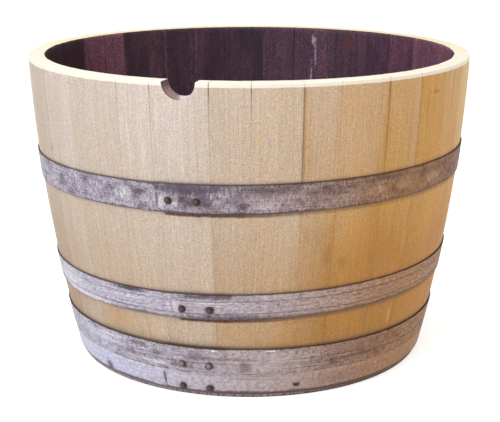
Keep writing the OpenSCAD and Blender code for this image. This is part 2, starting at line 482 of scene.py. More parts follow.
class BandDirtAndShade(Effect):
    """Dirt, a dark line of dirt and painted shadow, and washed-out rust with painted shade on the
    wood just above and below a hoop.
    """

    takes = {
        "Place": (0.0,) * 3, "Middle": 0.3, "Half": 0.02, "Tilt": 0.0,
        "Above": 2 * MM, "Below": 2 * MM, "Crown": 0.35,
    }  # fmt: skip
    gives = ("Mask", "Line", "Rust")

    def wire(self, w: Wiring, *given: Value) -> tuple[Value, ...]:
        """Wires the distance from the hoop's edges.

        Args:
            w: Wiring of the group's tree.
            *given: The group's inputs.

        Returns:
            The masks of the dirt, the line of dirt and painted shadow, and the rust.
        """
        place, middle, half, tilt, above, below, crown = given
        x, _, z = w.split(place)
        off = z - (x * tilt + middle)
        past, upper = w.math("ABSOLUTE", off) - half, w.math("GREATER_THAN", off, 0.0)
        uneven = w.noise(place, (34, 34, 60), 3, 0.6)
        reach = w.blend(upper, below, above) * (uneven * 3.0 - 0.5)
        fall = w.math("DIVIDE", past, w.math("MAXIMUM", reach, 0.2 * MM))
        soft = w.math("EXPONENT", w.math("MAXIMUM", fall, 0.0) * -1.0)
        rough = (uneven - 0.5) * (4 * MM) + past
        reach = w.blend(upper, 2.6 * MM, crown * (8 * MM) - 1.6 * MM)
        dirt_and_shadow_line = rough.ramp(reach, 0.4 * MM) * w.blend(upper, 1.0, crown)
        return soft, dirt_and_shadow_line, rough.ramp(7.6 * MM, 4.6 * MM) * (1.0 - upper)


class Spot(Effect):
    """Soft, ragged spot round a point, with its own half size along each axis."""

    takes = {"Place": (0.0,) * 3, "Centre": (0.0,) * 3, "Size": (0.01,) * 3, "Ragged": 0.5}
    gives = ("Mask",)

    def wire(self, w: Wiring, *given: Value) -> tuple[Value, ...]:
        """Wires the distance from the centre.

        Args:
            w: Wiring of the group's tree.
            *given: The group's inputs.

        Returns:
            The mask, alone in a tuple.
        """
        place, centre, size, ragged = given
        reach = w.vector("DIVIDE", w.vector("SUBTRACT", place, centre), size)
        uneven = (w.noise(place, (160, 160, 90), 3, 0.6) - 0.5) * ragged
        return ((uneven * 2.5 + w.vector("LENGTH", reach, output=1)).ramp(1.0, 0.25),)


class ZincSkin(Effect):
    """Weathered galvanised strip: mottle, bright specks, lengthwise scratches and dull patina."""

    takes = {
        "Place": (0.0,) * 3, "Bright": WHITE, "Dull": WHITE, "Patina": WHITE,
        "Age": 0.5, "Grain": (170.0,) * 3, "Contrast": 1.0,
    }  # fmt: skip
    gives = ("Color", "Rough", "Height")

    def wire(self, w: Wiring, *given: Value) -> tuple[Value, ...]:
        """Wires mottle, specks, scratches and patina.

        Args:
            w: Wiring of the group's tree.
            *given: The group's inputs.

        Returns:
            Their colour, roughness and height.
        """
        place, bright, dull, patina, age, grain, contrast = given
        cloud = w.noise(place, (38, 38, 52), 4, 0.62)
        fine = w.vector("MULTIPLY", place, grain)
        mottle = w.noise(fine, (1, 1, 1), 5, 0.68)
        speck = w.noise(fine, (3.1, 3.1, 3.1), 2, 0.6)
        streak = w.noise(place, (16, 16, 900))
        light = (mottle - 0.5) * 2.6 + (speck - 0.5) * 1.8 + (streak - 0.5) * 0.8
        light = light * contrast + 0.5
        low = 0.98 - age * 0.55
        aged = ((mottle - 0.5) * 0.8 + cloud).ramp(low - 0.22, low)
        colour = w.mix(aged * 0.8, w.mix(light, dull, bright), patina)
        return colour, aged * 0.16 - light * 0.16 + 0.62, mottle + speck * 0.3 + streak * 0.4


class Mark(NamedTuple):
    """A stain, rub, scratch, patch of dirt, painted highlight or painted shade. Its height on the
    barrel, or over a hoop's middle, and its half sizes are in millimetres. Its strength and
    raggedness go from 0 to 1."""

    angle: float
    up: float
    wide: float
    tall: float
    colour: tuple[int, int, int]
    strength: float
    ragged: float = 0.6


def marks(*rows: tuple) -> tuple[Mark, ...]:
    """Marks from rows of their values."""
    return tuple(Mark(*row) for row in rows)


def dab(
    w: Wiring, colour: Value, place: Value, centre: Sequence[float], deep: float, mark: Mark,
    broken: Value | None = None,
) -> Value:  # fmt: skip
    """Lays one mark over a colour.

    Args:
        w: Wiring of the material's tree.
        colour: The colour under it.
        place: What its centre is measured in.
        centre: Its centre.
        deep: Its half size through the surface.
        mark: The mark.
        broken: What breaks it up, if anything does.

    Returns:
        The colour with the mark.
    """
    (mask,) = Spot.put(
        w, place, tuple(centre), (mark.wide * MM, deep, mark.tall * MM), mark.ragged
    )
    mask = mask * mark.strength
    return w.mix(mask * broken if broken else mask, colour, tint(*mark.colour))


# ---- finishes


@dataclass(frozen=True)
class Finish:
    """A surface's colours and strengths, which it turns into one material.

    Attributes:
        name: Name of the material.
        roughness: Roughness where nothing varies it.
        bump: Height of its relief.
    """

    name: str
    roughness: float = 0.6
    bump: float = 0.2 * MM

    def paint(self, w: Wiring) -> dict[str, Setting]:
        """Wires the surface.

        Args:
            w: Wiring of the material's tree.

        Returns:
            Principled inputs by name, with Height for the relief.
        """
        raise NotImplementedError

    def material(self) -> Material:
        """The finished material, built on the first call.

        Returns:
            The material.
        """
        known = bpy.data.materials.get(self.name)
        if known:
            return known
        made = bpy.data.materials.new(self.name)
        made.use_nodes = True
        w = Wiring(made.node_tree)
        values = {"Roughness": self.roughness, **self.paint(w)}
        relief = {"Height": values.pop("Height"), "Strength": 1.0, "Distance": self.bump}
        values["Normal"] = w.out("Bump", relief)
        for name, value in values.items():
            w.feed(made.node_tree.nodes["Principled BSDF"].inputs[name], value)
        return made


@dataclass(frozen=True)
class Strip:
    """Where one hoop runs and how its lap is made.

    Attributes:
        name: Its name.
        z: Height of its middle at the sides' mean.
        width: Width of the strip.
        end: Angle of the visible end.
        lap: Length of the lap.
        rivet_in: First rivet's distance from the visible end.
        drop: How far the rivets sit below the middle.
        tilt: Tilt in degrees, right side up.
        creases: Heights of the rolled creases above the strip's middle.
        slant: Lean of the cut end, lower corner to the right.
    """

    name: str
    z: float
    width: float
    end: float
    lap: float
    rivet_in: float
    drop: float
    tilt: float = 0.0
    creases: tuple[float, ...] = ()
    slant: float = 0.0

    def middle(self, angle: float) -> float:
        """Height of the strip's middle line at an angle."""
        sideways = BARREL.out_r(self.z) * math.sin(math.radians(angle))
        return self.z + sideways * math.tan(math.radians(self.tilt))

    def start(self) -> float:
        """Start of the strip's own lengthwise measure, different for each hoop."""
        return self.z * 10

    def seats(self) -> list[tuple[Vector, Matrix]]:
        """Where the rivets stand on the outer layer.

        Returns:
            Centre of each rivet's seat and the turn that takes +Z out of the wood.
        """
        seats = []
        for length in (self.rivet_in, self.rivet_in + RIVET_PITCH):
            angle = self.end + BARREL.angle_of(length, self.z)
            z = self.middle(angle) - self.drop
            turn = turn_of(angle) @ Matrix.Rotation(math.pi / 2 + BARREL.slope(z), 4, "X")
            out = turn @ Vector((0, 0, 2 * (HOOP_PLAY + HOOP_T)))
            seats.append((BARREL.spot(angle, 0.0, z) + out, turn))
        return seats


BILGE = Strip(
    "bilge", 313.5 * MM, 41 * MM, end=-22.5, lap=77 * MM, rivet_in=18 * MM, drop=3.5 * MM, tilt=0.9
)
QUARTER = Strip(
    "quarter", 151.3 * MM, 38.5 * MM, end=-20.6, lap=70 * MM, rivet_in=15 * MM, drop=4 * MM,
    tilt=1.4, creases=(8.5 * MM, -10.8 * MM),
)  # fmt: skip
COLLAR = Strip(
    "collar", 61.3 * MM, 41.2 * MM, end=-24.5, lap=84 * MM, rivet_in=26.5 * MM, drop=7.5 * MM,
    creases=(-4 * MM,),
)  # fmt: skip
CHIME = Strip(
    "chime", 24.85 * MM, 31.7 * MM, end=-26.3, lap=88 * MM, rivet_in=32 * MM, drop=9 * MM,
    slant=2 * MM,
)  # fmt: skip
HOOP_T = 1.8 * MM
HOOP_PLAY = 0.2 * MM
JOGGLE = 16 * MM
TUCK = 6 * MM
RIVET_PITCH = 40.5 * MM

STAINS = marks(
    (-12.0, 283, 9, 13, (140, 104, 86), 0.2, 0.5), (-12.6, 289.5, 9, 5, (84, 36, 34), 0.9, 0.5),
    (-17.0, 128, 22, 5, (120, 90, 76), 0.35, 0.5), (50.5, 442, 13, 5, (190, 108, 44), 0.65, 0.5),
    (47.6, 425, 9, 18, (200, 138, 60), 0.5, 0.5), (19.5, 226, 12, 22, (158, 108, 58), 0.45, 0.5),
    (24.0, 212, 10, 10, (150, 98, 54), 0.35, 0.5), (38.0, 222, 9, 22, (188, 128, 62), 0.5, 0.5),
    (-60.0, 352, 10, 12, (150, 134, 128), 0.35, 0.5),
    (2.4, 395, 11, 14, (214, 190, 140), 0.5, 0.5), (-21.5, 420, 2, 70, (240, 228, 216), 0.45, 0.5),
    (-25.2, 370, 4, 90, (236, 224, 214), 0.5, 0.5),
    (-46.0, 395, 16, 46, (206, 184, 150), 0.25, 0.5),
    (43.2, 106, 4.5, 34, (222, 170, 92), 0.5, 0.3), (-40.0, 108, 34, 18, (204, 158, 92), 0.4, 0.8),
    (-62.0, 118, 30, 16, (184, 140, 96), 0.4, 0.8), (30.0, 98, 22, 14, (178, 112, 56), 0.35, 0.8),
    (44.2, 225, 5, 60, (216, 170, 106), 0.4, 0.4), (29.0, 250, 40, 50, (204, 138, 68), 0.3, 1.0),
    (36.0, 225, 26, 60, (176, 118, 52), 0.25, 1.0), (53.0, 250, 40, 60, (214, 158, 84), 0.3, 1.0),
    (62.0, 215, 40, 40, (180, 112, 50), 0.3, 1.0), (17.0, 255, 26, 30, (156, 124, 74), 0.2, 1.0),
    (-5.0, 105, 40, 16, (200, 150, 96), 0.25, 1.0),
)  # fmt: skip

CRUSTS = marks(
    (158.4, 452, 4.5, 13, (196, 176, 206), 0.9, 0.8),
    (157.6, 430, 2.4, 40, (186, 168, 196), 0.8, 1), (158.8, 385, 2.2, 40, (186, 168, 196), 0.7, 1),
    (146.0, 452, 16, 22, (112, 44, 52), 0.75, 0.8),
    (236.0, 400, 38, 120, (104, 56, 62), 0.35, 0.5),
    (132.0, 440, 20, 26, (110, 72, 100), 0.35, 0.6),
)  # fmt: skip


@dataclass(frozen=True)
class SandedOak(Finish):
    """Sanded outside of the staves, with joint lines, hoop dirt and stains, and painted light and
    shade.

    Attributes:
        tones: Pale and deep colours of grey-beige, of middling and of orange-tan oak.
        warming: How much warmer the oak gets from the rim to the foot.
        dimming: How much darker it gets.
        ground: Colour of the dirt at the ground, and of the line of dirt and painted shadow hard
            against the hoops.
        soil: Colour of the dirt beside the hoops.
        rust: Dark and light colour of the rust washed out from under a lap, laid on as rust and
            painted shade together.
        seam: Colour of the joint lines.
        sawn: Colour of the sawn edge at the rim, made lighter as a painted highlight on its rounded
            outer edge.
        bands: Hoop, reach of its dirt above and below, strength of its line of dirt and painted
            shadow on the left and on the right, of its rust with painted shade and of the line
            above it, and the line's colour. Above the collar the dirt is partly painted shade.
    """

    tones: tuple[tuple[Colour, Colour], ...] = (
        (tint(236, 226, 221), tint(198, 183, 173)),
        (tint(231, 212, 192), tint(192, 167, 141)),
        (tint(225, 179, 100), tint(184, 132, 62)),
    )
    warming: float = 0.50
    dimming: float = 0.23
    ground: Colour = tint(62, 45, 46)
    soil: Colour = tint(112, 86, 70)
    rust: tuple[Colour, Colour] = (tint(44, 18, 14), tint(106, 54, 30))
    seam: Colour = tint(104, 62, 38)
    sawn: Colour = tint(253, 249, 234)
    bands: tuple[tuple, ...] = (
        (BILGE, 1.6 * MM, 2.2 * MM, 0.4, 0.55, 0.95, 0.35, ground),
        (QUARTER, 2.2 * MM, 3.0 * MM, 0.65, 0.9, 1.0, 0.35, ground),
        (COLLAR, 5.0 * MM, 1.0 * MM, 0.85, 0.6, 0.0, 1.0, tint(100, 80, 66)),
    )

    def paint(self, w: Wiring) -> dict[str, Setting]:
        """Wires grain, tone, joints, hoop dirt, stains, and painted light and shade.

        Args:
            w: Wiring of the material's tree.

        Returns:
            Principled inputs by name.
        """
        plank, place = w.attribute("plank"), w.place()
        tone, warmth, _ = w.parts("look")
        near, line, spread = w.parts("seam")
        x, y, z = w.split(place)
        low = z * (-1 / BARREL.height) + 1.0
        warm = (w.noise(plank, (14, 14, 5), 3) - 0.5) * 0.4 + warmth + low * self.warming
        pale, deep = (
            w.mix(warm.ramp(0.5, 1.0, "LINEAR"), w.mix(warm.ramp(0.0, 0.5, "LINEAR"), *cool), tan)
            for *cool, tan in zip(*self.tones)
        )
        colour, height = OakFigure.put(w, plank, pale, deep, 1.0, 0.16)
        hue = w.noise(place, (250, 250, 170), 3, 0.6).ramp(0.36, 0.64)
        cast = w.mix(hue, (1.0, 0.93, 0.955, 1.0), (0.985, 0.99, 0.885, 1.0))
        colour = w.dye(1.0, colour, cast)
        lit = x.ramp(0.09, 0.03) * x.ramp(-0.20, -0.14) * low.ramp(0.55, 0.75)
        sanded = w.noise(place, (680, 680, 560), 2, 0.6) - 0.5
        level = low * -self.dimming + 1.02 + tone + lit * 0.04 + sanded * 1.3
        colour = w.vector("SCALE", colour, Scale=level)
        # Painted light and shade: aged deepens the lower oak of warm staves, partly as age and,
        # more to the right, as painted warm light; the other casts are a painted golden light low
        # on the right, painted shade low at the left edge and painted light high at the right edge.
        aged = w.blend(warmth.ramp(0.2, 0.6), 0.28, 1.0) * w.blend(x.ramp(0.02, 0.16), 0.5, 1.3)
        for share, cast in (
            (aged * low.ramp(0.38, 0.62), tint(242, 229, 205)),
            (x.ramp(0.12, 0.26) * low.ramp(0.3, 0.85), tint(255, 246, 176)),
            (x.ramp(-0.22, -0.29) * low.ramp(0.35, 0.75), tint(236, 226, 222)),
            (x.ramp(0.295, 0.325) * low.ramp(0.4, 0.2), (1.12, 1.22, 1.04, 1.0)),
        ):
            colour = w.dye(share, colour, cast)
        for stain in STAINS:
            centre = BARREL.spot(stain.angle, 0.0, stain.up * MM)
            colour = dab(w, colour, place, centre, stain.wide * MM, stain)
        aside, rust_and_shade_colour = x.ramp(-0.12, 0.10), w.mix(hue, *self.rust)
        # Dirt beside each hoop, a line against it that is dirt and painted shadow, and rust under
        # its lap that is partly painted shade.
        for hoop, above, below, left, right, rust_and_shade, crown, line_dirt_and_shade in self.bands:
            tilt = math.tan(math.radians(hoop.tilt))
            soil, edge, rust = BandDirtAndShade.put(
                w, place, hoop.z, hoop.width / 2, tilt, above, below, crown
            )
            colour = w.mix(soil * 0.8, colour, self.soil)
            lap = BARREL.spot(hoop.end + 1.0, 0.0, hoop.z).x
            lapped = w.blend(x.ramp(-0.04, 0.12), rust_and_shade, 0.3 * rust_and_shade) * y.ramp(0.1, -0.05)
            colour = w.mix(rust * lapped * x.ramp(lap, lap + 9 * MM), colour, rust_and_shade_colour)
            line_dirt_and_shade = w.mix(aside, line_dirt_and_shade, tint(84, 50, 36))
            colour = w.mix(edge * w.blend(aside, left, right), colour, line_dirt_and_shade)
        # The rounded rim edge takes the sawn colour, lightened as a painted highlight.
        worn = w.noise(place, (60, 60, 60)) * (2 * MM) + z
        rim = worn.ramp(BARREL.height - 5.4 * MM, BARREL.height - 4.6 * MM)
        colour = w.mix(rim * 0.95, colour, self.sawn)
        fall = w.math("EXPONENT", w.math("DIVIDE", near, spread) * -1.0)
        colour = w.mix(fall * (1.0 - rim * 0.85) * line, colour, self.seam)
        ticks = w.noise(plank, (420, 420, 60), 3, 0.6)
        flecks = ticks.ramp(0.38, 0.62)
        dirt = w.mix(flecks, tint(104, 82, 90), tint(190, 172, 178))
        browner = w.mix(flecks, tint(62, 38, 34), tint(118, 78, 56))
        dirt = w.mix(x.ramp(0.0, 0.20), dirt, browner)
        colour = w.mix(z.ramp(13 * MM, 8.5 * MM) * 0.88, colour, dirt)
        scuffed = (ticks - 0.5) * (8 * MM) + z
        sole = scuffed.ramp(4.2 * MM, 1.2 * MM) * w.blend(aside, 0.35, 0.9)
        colour = w.mix(sole, colour, self.ground)
        shade = scuffed.ramp(4.4 * MM, 6.6 * MM) * z.ramp(13 * MM, 9 * MM) * 0.85
        colour = w.mix(shade, colour, w.mix(aside, tint(58, 48, 72), self.ground))
        return {"Base Color": colour, "Roughness": height * 0.10 + 0.52, "Height": height}


@dataclass(frozen=True)
class SawnOak(Finish):
    """Sawn rim: bright end grain with saw lines and a wine edge along the inside.

    Attributes:
        pale: Colour of the sawn wood.
        deep: Colour of its rings and pores.
        wine: Colour of the stain that has soaked in from the inside.
        soaked: Depth that it has soaked in.
    """

    pale: Colour = tint(252, 247, 232)
    deep: Colour = tint(226, 206, 172)
    wine: Colour = tint(96, 54, 58)
    soaked: float = 1.2 * MM

    def paint(self, w: Wiring) -> dict[str, Setting]:
        """Wires end grain, saw lines and the soaked edge.

        Args:
            w: Wiring of the material's tree.

        Returns:
            Principled inputs by name.
        """
        plank, place = w.attribute("plank"), w.place()
        near, line, _ = w.parts("seam")
        depth, _, _ = w.parts("wall")
        colour, height = EndGrain.put(w, plank, self.pale, self.deep, 0.45)
        edge = (w.noise(plank, (220, 220, 0), 3) - 0.5) * (3 * MM) + (BARREL.wall - depth)
        colour = w.mix(edge.ramp(self.soaked, self.soaked * 0.3) * 0.75, colour, self.wine)
        crack = near.ramp(0.7, 0.2) * line.ramp(0.6, 1.0) * 0.6
        colour = w.mix(crack, colour, tint(130, 94, 60))
        away = w.split(place)[1].ramp(-0.08, 0.16)
        colour = w.dye(away, colour, tint(255, 249, 222))
        return {"Base Color": colour, "Height": w.noise(place, (60, 900, 0)) * 0.8 + height}


@dataclass(frozen=True)
class WineOak(Finish):
    """Inside of the barrel: oak stained dark purple by wine, with pale crystal streaks.

    Attributes:
        dark: Pale and deep colours of the darkest staves' grain.
        rosy: Those of the staves that took less wine.
        crust: Colour of the wine crystals.
        crystals: How many of them there are.
    """

    dark: tuple[Colour, Colour] = (tint(72, 44, 68), tint(31, 13, 31))
    rosy: tuple[Colour, Colour] = (tint(166, 112, 132), tint(104, 62, 82))
    crust: Colour = tint(160, 138, 180)
    crystals: float = 1.0

    def paint(self, w: Wiring) -> dict[str, Setting]:
        """Wires stained grain, tide marks, joints and crystals.

        Args:
            w: Wiring of the material's tree.

        Returns:
            Principled inputs by name.
        """
        plank, place = w.attribute("plank"), w.place()
        wine = w.parts("look")[2]
        near, line, _ = w.parts("seam")
        crusted = w.parts("wall")[1]
        cloud = w.noise(plank, (26, 26, 9), 4, 0.66)
        pale, deep = (w.mix(cloud - 0.5 + wine, *pair) for pair in zip(self.dark, self.rosy))
        colour, height = OakFigure.put(w, plank, pale, deep, 1.3, 0.4)
        grit = w.noise(plank, (460, 460, 380), 3, 0.75)
        colour = w.vector("SCALE", colour, Scale=(grit - 0.5) * 5.0 + 0.92)
        hue = w.noise(place, (330, 330, 260), 2, 0.6).ramp(0.36, 0.64)
        cast = w.mix(hue, (1.22, 0.94, 0.80, 1.0), (0.82, 0.98, 1.24, 1.0))
        colour = w.dye(1.0, colour, cast)
        browned = wine.ramp(-0.2, -0.6) * 0.8
        colour = w.dye(browned, colour, (1.0, 0.78, 0.50, 1.0))
        run = w.noise(plank, (130, 130, 5), 3, 0.6)
        streaks = run.ramp(0.62, 0.74) * grit.ramp(0.46, 0.62) * 0.6
        seam = near.ramp(1.6, 0.4) * cloud.ramp(0.50, 0.66) * 0.4
        settled = near.ramp(2.0, 0.7) * crusted * grit.ramp(0.44, 0.58)
        bloom = w.math("MAXIMUM", streaks, w.math("MAXIMUM", seam, settled)) * (0.5 * self.crystals)
        colour = w.mix(bloom, colour, self.crust)
        for crust in CRUSTS:
            centre = BARREL.spot(crust.angle, BARREL.wall, crust.up * MM)
            colour = dab(w, colour, place, centre, 12 * MM, crust, grit.ramp(0.34, 0.54))
        colour = w.mix(near.ramp(1.9, 0.5) * line * 0.85, colour, tint(20, 10, 16))
        rough, height = cloud * 0.3 + 0.42, bloom * 1.5 + height
        return {"Base Color": colour, "Roughness": rough, "Height": height}


@dataclass(frozen=True)
class StaveEnd(Finish):
    """Foot of the staves: end grain gone grey-brown, nearly black at the ground."""

    def paint(self, w: Wiring) -> dict[str, Setting]:
        """Wires weathered end grain.

        Args:
            w: Wiring of the material's tree.

        Returns:
            Principled inputs by name.
        """
        plank = w.attribute("plank")
        colour, height = EndGrain.put(w, plank, tint(150, 128, 112), tint(92, 70, 58), 0.9)
        grime = w.noise(plank, (120, 120, 40), 4, 0.62).ramp(0.42, 0.68)
        return {"Base Color": w.mix(grime, colour, tint(58, 42, 40)), "Height": height}


@dataclass(frozen=True)
class JointOak(Finish):
    """Planed oak darkened by what has seeped in, as between the staves and under the head.

    Attributes:
        pale: Pale colour of its grain.
        deep: Deep colour of its grain.
        gaps: How dark the joints across it are, 0 for none.
    """

    pale: Colour = tint(120, 88, 66)
    deep: Colour = tint(66, 42, 34)
    gaps: float = 0.0

    def paint(self, w: Wiring) -> dict[str, Setting]:
        """Wires planed grain, grime and joints.

        Args:
            w: Wiring of the material's tree.

        Returns:
            Principled inputs by name.
        """
        plank = w.attribute("plank")
        colour, height = OakFigure.put(w, plank, self.pale, self.deep, 1.0, 0.4)
        if self.gaps:
            grime = w.noise(plank, (24, 24, 7), 4, 0.62).ramp(0.4, 0.7) * 0.7
            joint = w.parts("seam")[0].ramp(2.4, 0.8) * self.gaps
            colour = w.mix(joint, w.mix(grime, colour, self.deep), tint(24, 16, 14))
        return {"Base Color": colour, "Height": height}


@dataclass(frozen=True)
class BoredOak(Finish):
    """Wall of a bored hole: oak across its grain, pinkish from wine, paler towards the right, with
    painted shadow along its outer edge on the left.

    Attributes:
        pale: Pale colour of its grain.
        deep: Deep colour of its grain, also of its darker top and of the painted shadow along its
            outer edge.
        clean: Colour of its paler right side.
    """

    pale: Colour = tint(206, 174, 176)
    deep: Colour = tint(76, 50, 44)
    clean: Colour = tint(230, 215, 214)

    def paint(self, w: Wiring) -> dict[str, Setting]:
        """Wires bored grain with dark patches and a rubbed side.

        Args:
            w: Wiring of the material's tree.

        Returns:
            Principled inputs by name.
        """
        plank, place = w.attribute("plank"), w.place()
        depth = w.parts("wall")[0]
        x, _, z = w.split(place)
        middle = BARREL.spot(BUNG_ANGLE, 0.0, BARREL.height).x
        colour, height = OakFigure.put(w, plank, self.pale, self.deep, 1.2, 0.6)
        grime = w.noise(place, (70, 70, 70), 3)
        high = z.ramp(BARREL.height - 16 * MM, BARREL.height - 2 * MM) * 0.75
        colour = w.mix(high, w.mix(grime.ramp(0.5, 0.75), colour, self.deep), self.deep)
        paler_right = ((grime - 0.5) * (12 * MM) + x).ramp(middle - 1 * MM, middle + 6 * MM) * 0.85
        colour = w.mix(paler_right, colour, self.clean)
        # Painted shadow along the outer edge, on the left of the hole.
        edge = (grime * (9 * MM) + depth).ramp(10.5 * MM, 6.5 * MM)
        edge = edge * x.ramp(middle + 12 * MM, middle) * 0.8
        return {"Base Color": w.mix(edge, colour, self.deep), "Height": height}


# Worn zinc colour, also used for painted highlights along the hoops' edges.
RUB_AND_HIGHLIGHT = (236, 233, 238)
# Dirt colour, also used for painted shade beside the quarter hoop's lap end.
GRIME_AND_SHADE = (70, 56, 60)
# Rust round each rivet; the dark inner ring is also painted shade round the head.
RIVET_RINGS = marks(
    (0, 0, 13, 13, (112, 90, 92), 0.22, 0.5), (0, 0, 9.2, 9.2, (56, 36, 36), 0.8, 0.5)
)


@dataclass(frozen=True)
class HoopZinc(Finish):
    """Galvanised strip of one hoop, with its patina, rivet rust, rubs and dirt, and painted light
    and shade.

    Attributes:
        strip: The hoop that wears it.
        bright: Colour of clean zinc.
        dull: Colour of weathered zinc.
        patina: Colour of the dark patches.
        age: Share of the surface gone dark, 0 to 1.
        grain: Fineness of the mottle along, through and across the strip.
        edge_top: Width of the dark line along the top edge.
        edge_low: Width of the one along the lower edge.
        tarnish_and_warm_shade: How much duller and warmer it is from the front round to the right,
            0 to 1, partly as tarnished zinc and partly as painted warm shade.
        contrast: How strong its mottle is.
        dull_and_warm_shade: Colour that darkens and warms it towards the right, as tarnished zinc
            and painted warm shade.
        marks: Its scratches, rubs and dirt patches, and painted highlights and shade.
    """

    strip: Strip = BILGE
    bright: Colour = tint(206, 202, 212)
    dull: Colour = tint(140, 131, 146)
    patina: Colour = tint(84, 70, 80)
    age: float = 0.5
    grain: Triple = (170.0, 170.0, 210.0)
    edge_top: float = 3 * MM
    edge_low: float = 1 * MM
    tarnish_and_warm_shade: float = 0.5
    contrast: float = 1.0
    dull_and_warm_shade: Colour = tint(224, 208, 190)
    marks: tuple[Mark, ...] = ()

    def paint(self, w: Wiring) -> dict[str, Setting]:
        """Wires zinc, patina at the edges and creases, painted warm shade to the right, marks, and
        rust with painted shade round the rivets.

        Args:
            w: Wiring of the material's tree.

        Returns:
            Principled inputs by name.
        """
        place, strip, half = w.place(), w.attribute("strip"), self.strip.width / 2
        x, up = w.split(place)[0], w.split(strip)[2]
        colour, rough, relief = ZincSkin.put(
            w, strip, self.bright, self.dull, self.patina, self.age, self.grain, self.contrast
        )
        uneven = w.noise(strip, (30, 30, 90), 4, 0.6)
        ragged = (uneven - 0.5) * (8 * MM) + up
        top = ragged.ramp(half - self.edge_top, half - 0.2 * self.edge_top)
        low = ragged.ramp(self.edge_low - half, 0.1 * self.edge_low - half)
        dark = w.math("MAXIMUM", top, low) * 0.75
        for crease in self.strip.creases:
            groove = w.math("ABSOLUTE", up - crease).ramp(1.5 * MM, 0.3 * MM)
            dark = w.math("MAXIMUM", dark, groove * uneven.ramp(0.25, 0.6) * 0.55)
        colour = w.mix(dark, colour, self.patina)
        # Painted warm shade: duller and warmer from the front round to the right, partly tarnished
        # zinc, with more painted warm light over the right and painted shade at the far right edge.
        for start, end, share, cast in (
            (-0.24, 0.06, self.tarnish_and_warm_shade, self.dull_and_warm_shade),
            (-0.03, 0.25, 1.0, tint(238, 192, 132)),
            (0.245, 0.31, 0.8, tint(216, 198, 176)),
        ):
            colour = w.dye(x.ramp(start, end) * share, colour, cast)
        for mark in self.marks:
            run = math.radians((mark.angle - self.strip.end) % 360) * BARREL.out_r(self.strip.z)
            centre = (run + self.strip.start(), 0.0, mark.up * MM)
            colour = dab(w, colour, strip, centre, 1.0, mark)
        for centre, _ in self.strip.seats():
            for ring in RIVET_RINGS:
                colour = dab(w, colour, place, centre, ring.wide * MM, ring)
        metal = dark * -0.35 + 0.60
        return {"Base Color": colour, "Roughness": rough, "Metallic": metal, "Height": relief}


@dataclass(frozen=True)
class RivetRust(Finish):
    """Rusted rivet head: a painted highlight, partly worn metal, on the upper left of its crown,
    and painted shade, nearly black, towards its lower right and foot.

    Attributes:
        rust: Dark and light colour of its rust.
        crown: Colour of the crown's painted highlight, partly worn metal.
    """

    rust: tuple[Colour, Colour] = (tint(46, 29, 32), tint(82, 54, 52))
    crown: Colour = tint(132, 108, 106)

    def paint(self, w: Wiring) -> dict[str, Setting]:
        """Wires rust, the crown's painted highlight and painted shade at the foot.

        Args:
            w: Wiring of the material's tree.

        Returns:
            Principled inputs by name.
        """
        dome = w.attribute("dome")
        rust = w.noise(w.place(), (420, 420, 420), 4, 0.65)
        # Painted highlight round a point up and to the left on the crown, partly worn metal.
        off = w.vector("DISTANCE", dome, (-0.34, 0.38, 0.9), output=1)
        worn = ((rust - 0.5) * 1.4 + off).ramp(0.75, 0.15) * 0.8
        colour = w.mix(worn, w.mix(rust.ramp(0.35, 0.65), *self.rust), self.crown)
        # Painted shade, nearly black, away from that side towards the lower right and the foot.
        away = w.vector("DISTANCE", dome, (-0.30, 0.30, 0.6), output=1).ramp(0.7, 1.15) * 0.85
        colour = w.mix(away, colour, tint(30, 18, 20))
        rough = rust * 0.3 + 0.36
        return {"Base Color": colour, "Roughness": rough, "Metallic": 0.35, "Height": rust}


@dataclass(frozen=True)
class TurnedBeech(Finish):
    """Pale, close-grained dowels."""

    def paint(self, w: Wiring) -> dict[str, Setting]:
        """Wires fine straight grain along the dowels.

        Args:
            w: Wiring of the material's tree.

        Returns:
            Principled inputs by name.
        """
        fine = w.noise(w.place(), (700, 40, 700), 3)
        colour = w.mix(fine.ramp(0.3, 0.7), tint(196, 160, 116), tint(226, 198, 156))
        return {"Base Color": colour, "Height": fine}


# ---- shaping


def only(kind: type, items: Iterable) -> list:
    """The vertices, edges or faces among what an operator gives."""
    return [item for item in items if isinstance(item, kind)]


def skin(shape: BMesh) -> list:
    """All vertices, edges and faces of a mesh."""
    return shape.verts[:] + shape.edges[:] + shape.faces[:]


def saw(shape: BMesh, place: Sequence[float], normal: Sequence[float], off: bool = False) -> list:
    """Cuts a mesh along a plane.

    Args:
        shape: The mesh.
        place: A point of the plane.
        normal: Its normal.
        off: Whether what lies beyond the plane comes off and the cut is closed.

    Returns:
        The faces that close the cut, if it is closed.
    """
    cut = bmesh.ops.bisect_plane(
        shape, geom=skin(shape), dist=1e-7, plane_co=place, plane_no=normal, clear_outer=off
    )
    rim = only(BMEdge, cut["geom_cut"])
    return bmesh.ops.contextual_create(shape, geom=rim)["faces"] if off else []


def push(shape: BMesh, faces: list[BMFace], move: Sequence[float]) -> None:
    """Moves faces and draws walls after them.

    Args:
        shape: The mesh.
        faces: The faces.
        move: How far they go along each axis.
    """
    moved = only(BMVert, bmesh.ops.extrude_face_region(shape, geom=faces)["geom"])
    bmesh.ops.translate(shape, verts=moved, vec=move)
    bmesh.ops.delete(shape, geom=faces, context="FACES_ONLY")


def break_edges(shape: BMesh, edges: list[BMEdge]) -> None:
    """Rounds sharp edges off a little.

    Args:
        shape: The mesh.
        edges: The edges.
    """
    bmesh.ops.bevel(
        shape, geom=edges, offset=0.7 * MM, offset_type="OFFSET", segments=2, profile=0.5,
        affect="EDGES", clamp_overlap=True, material=-1,
    )  # fmt: skip


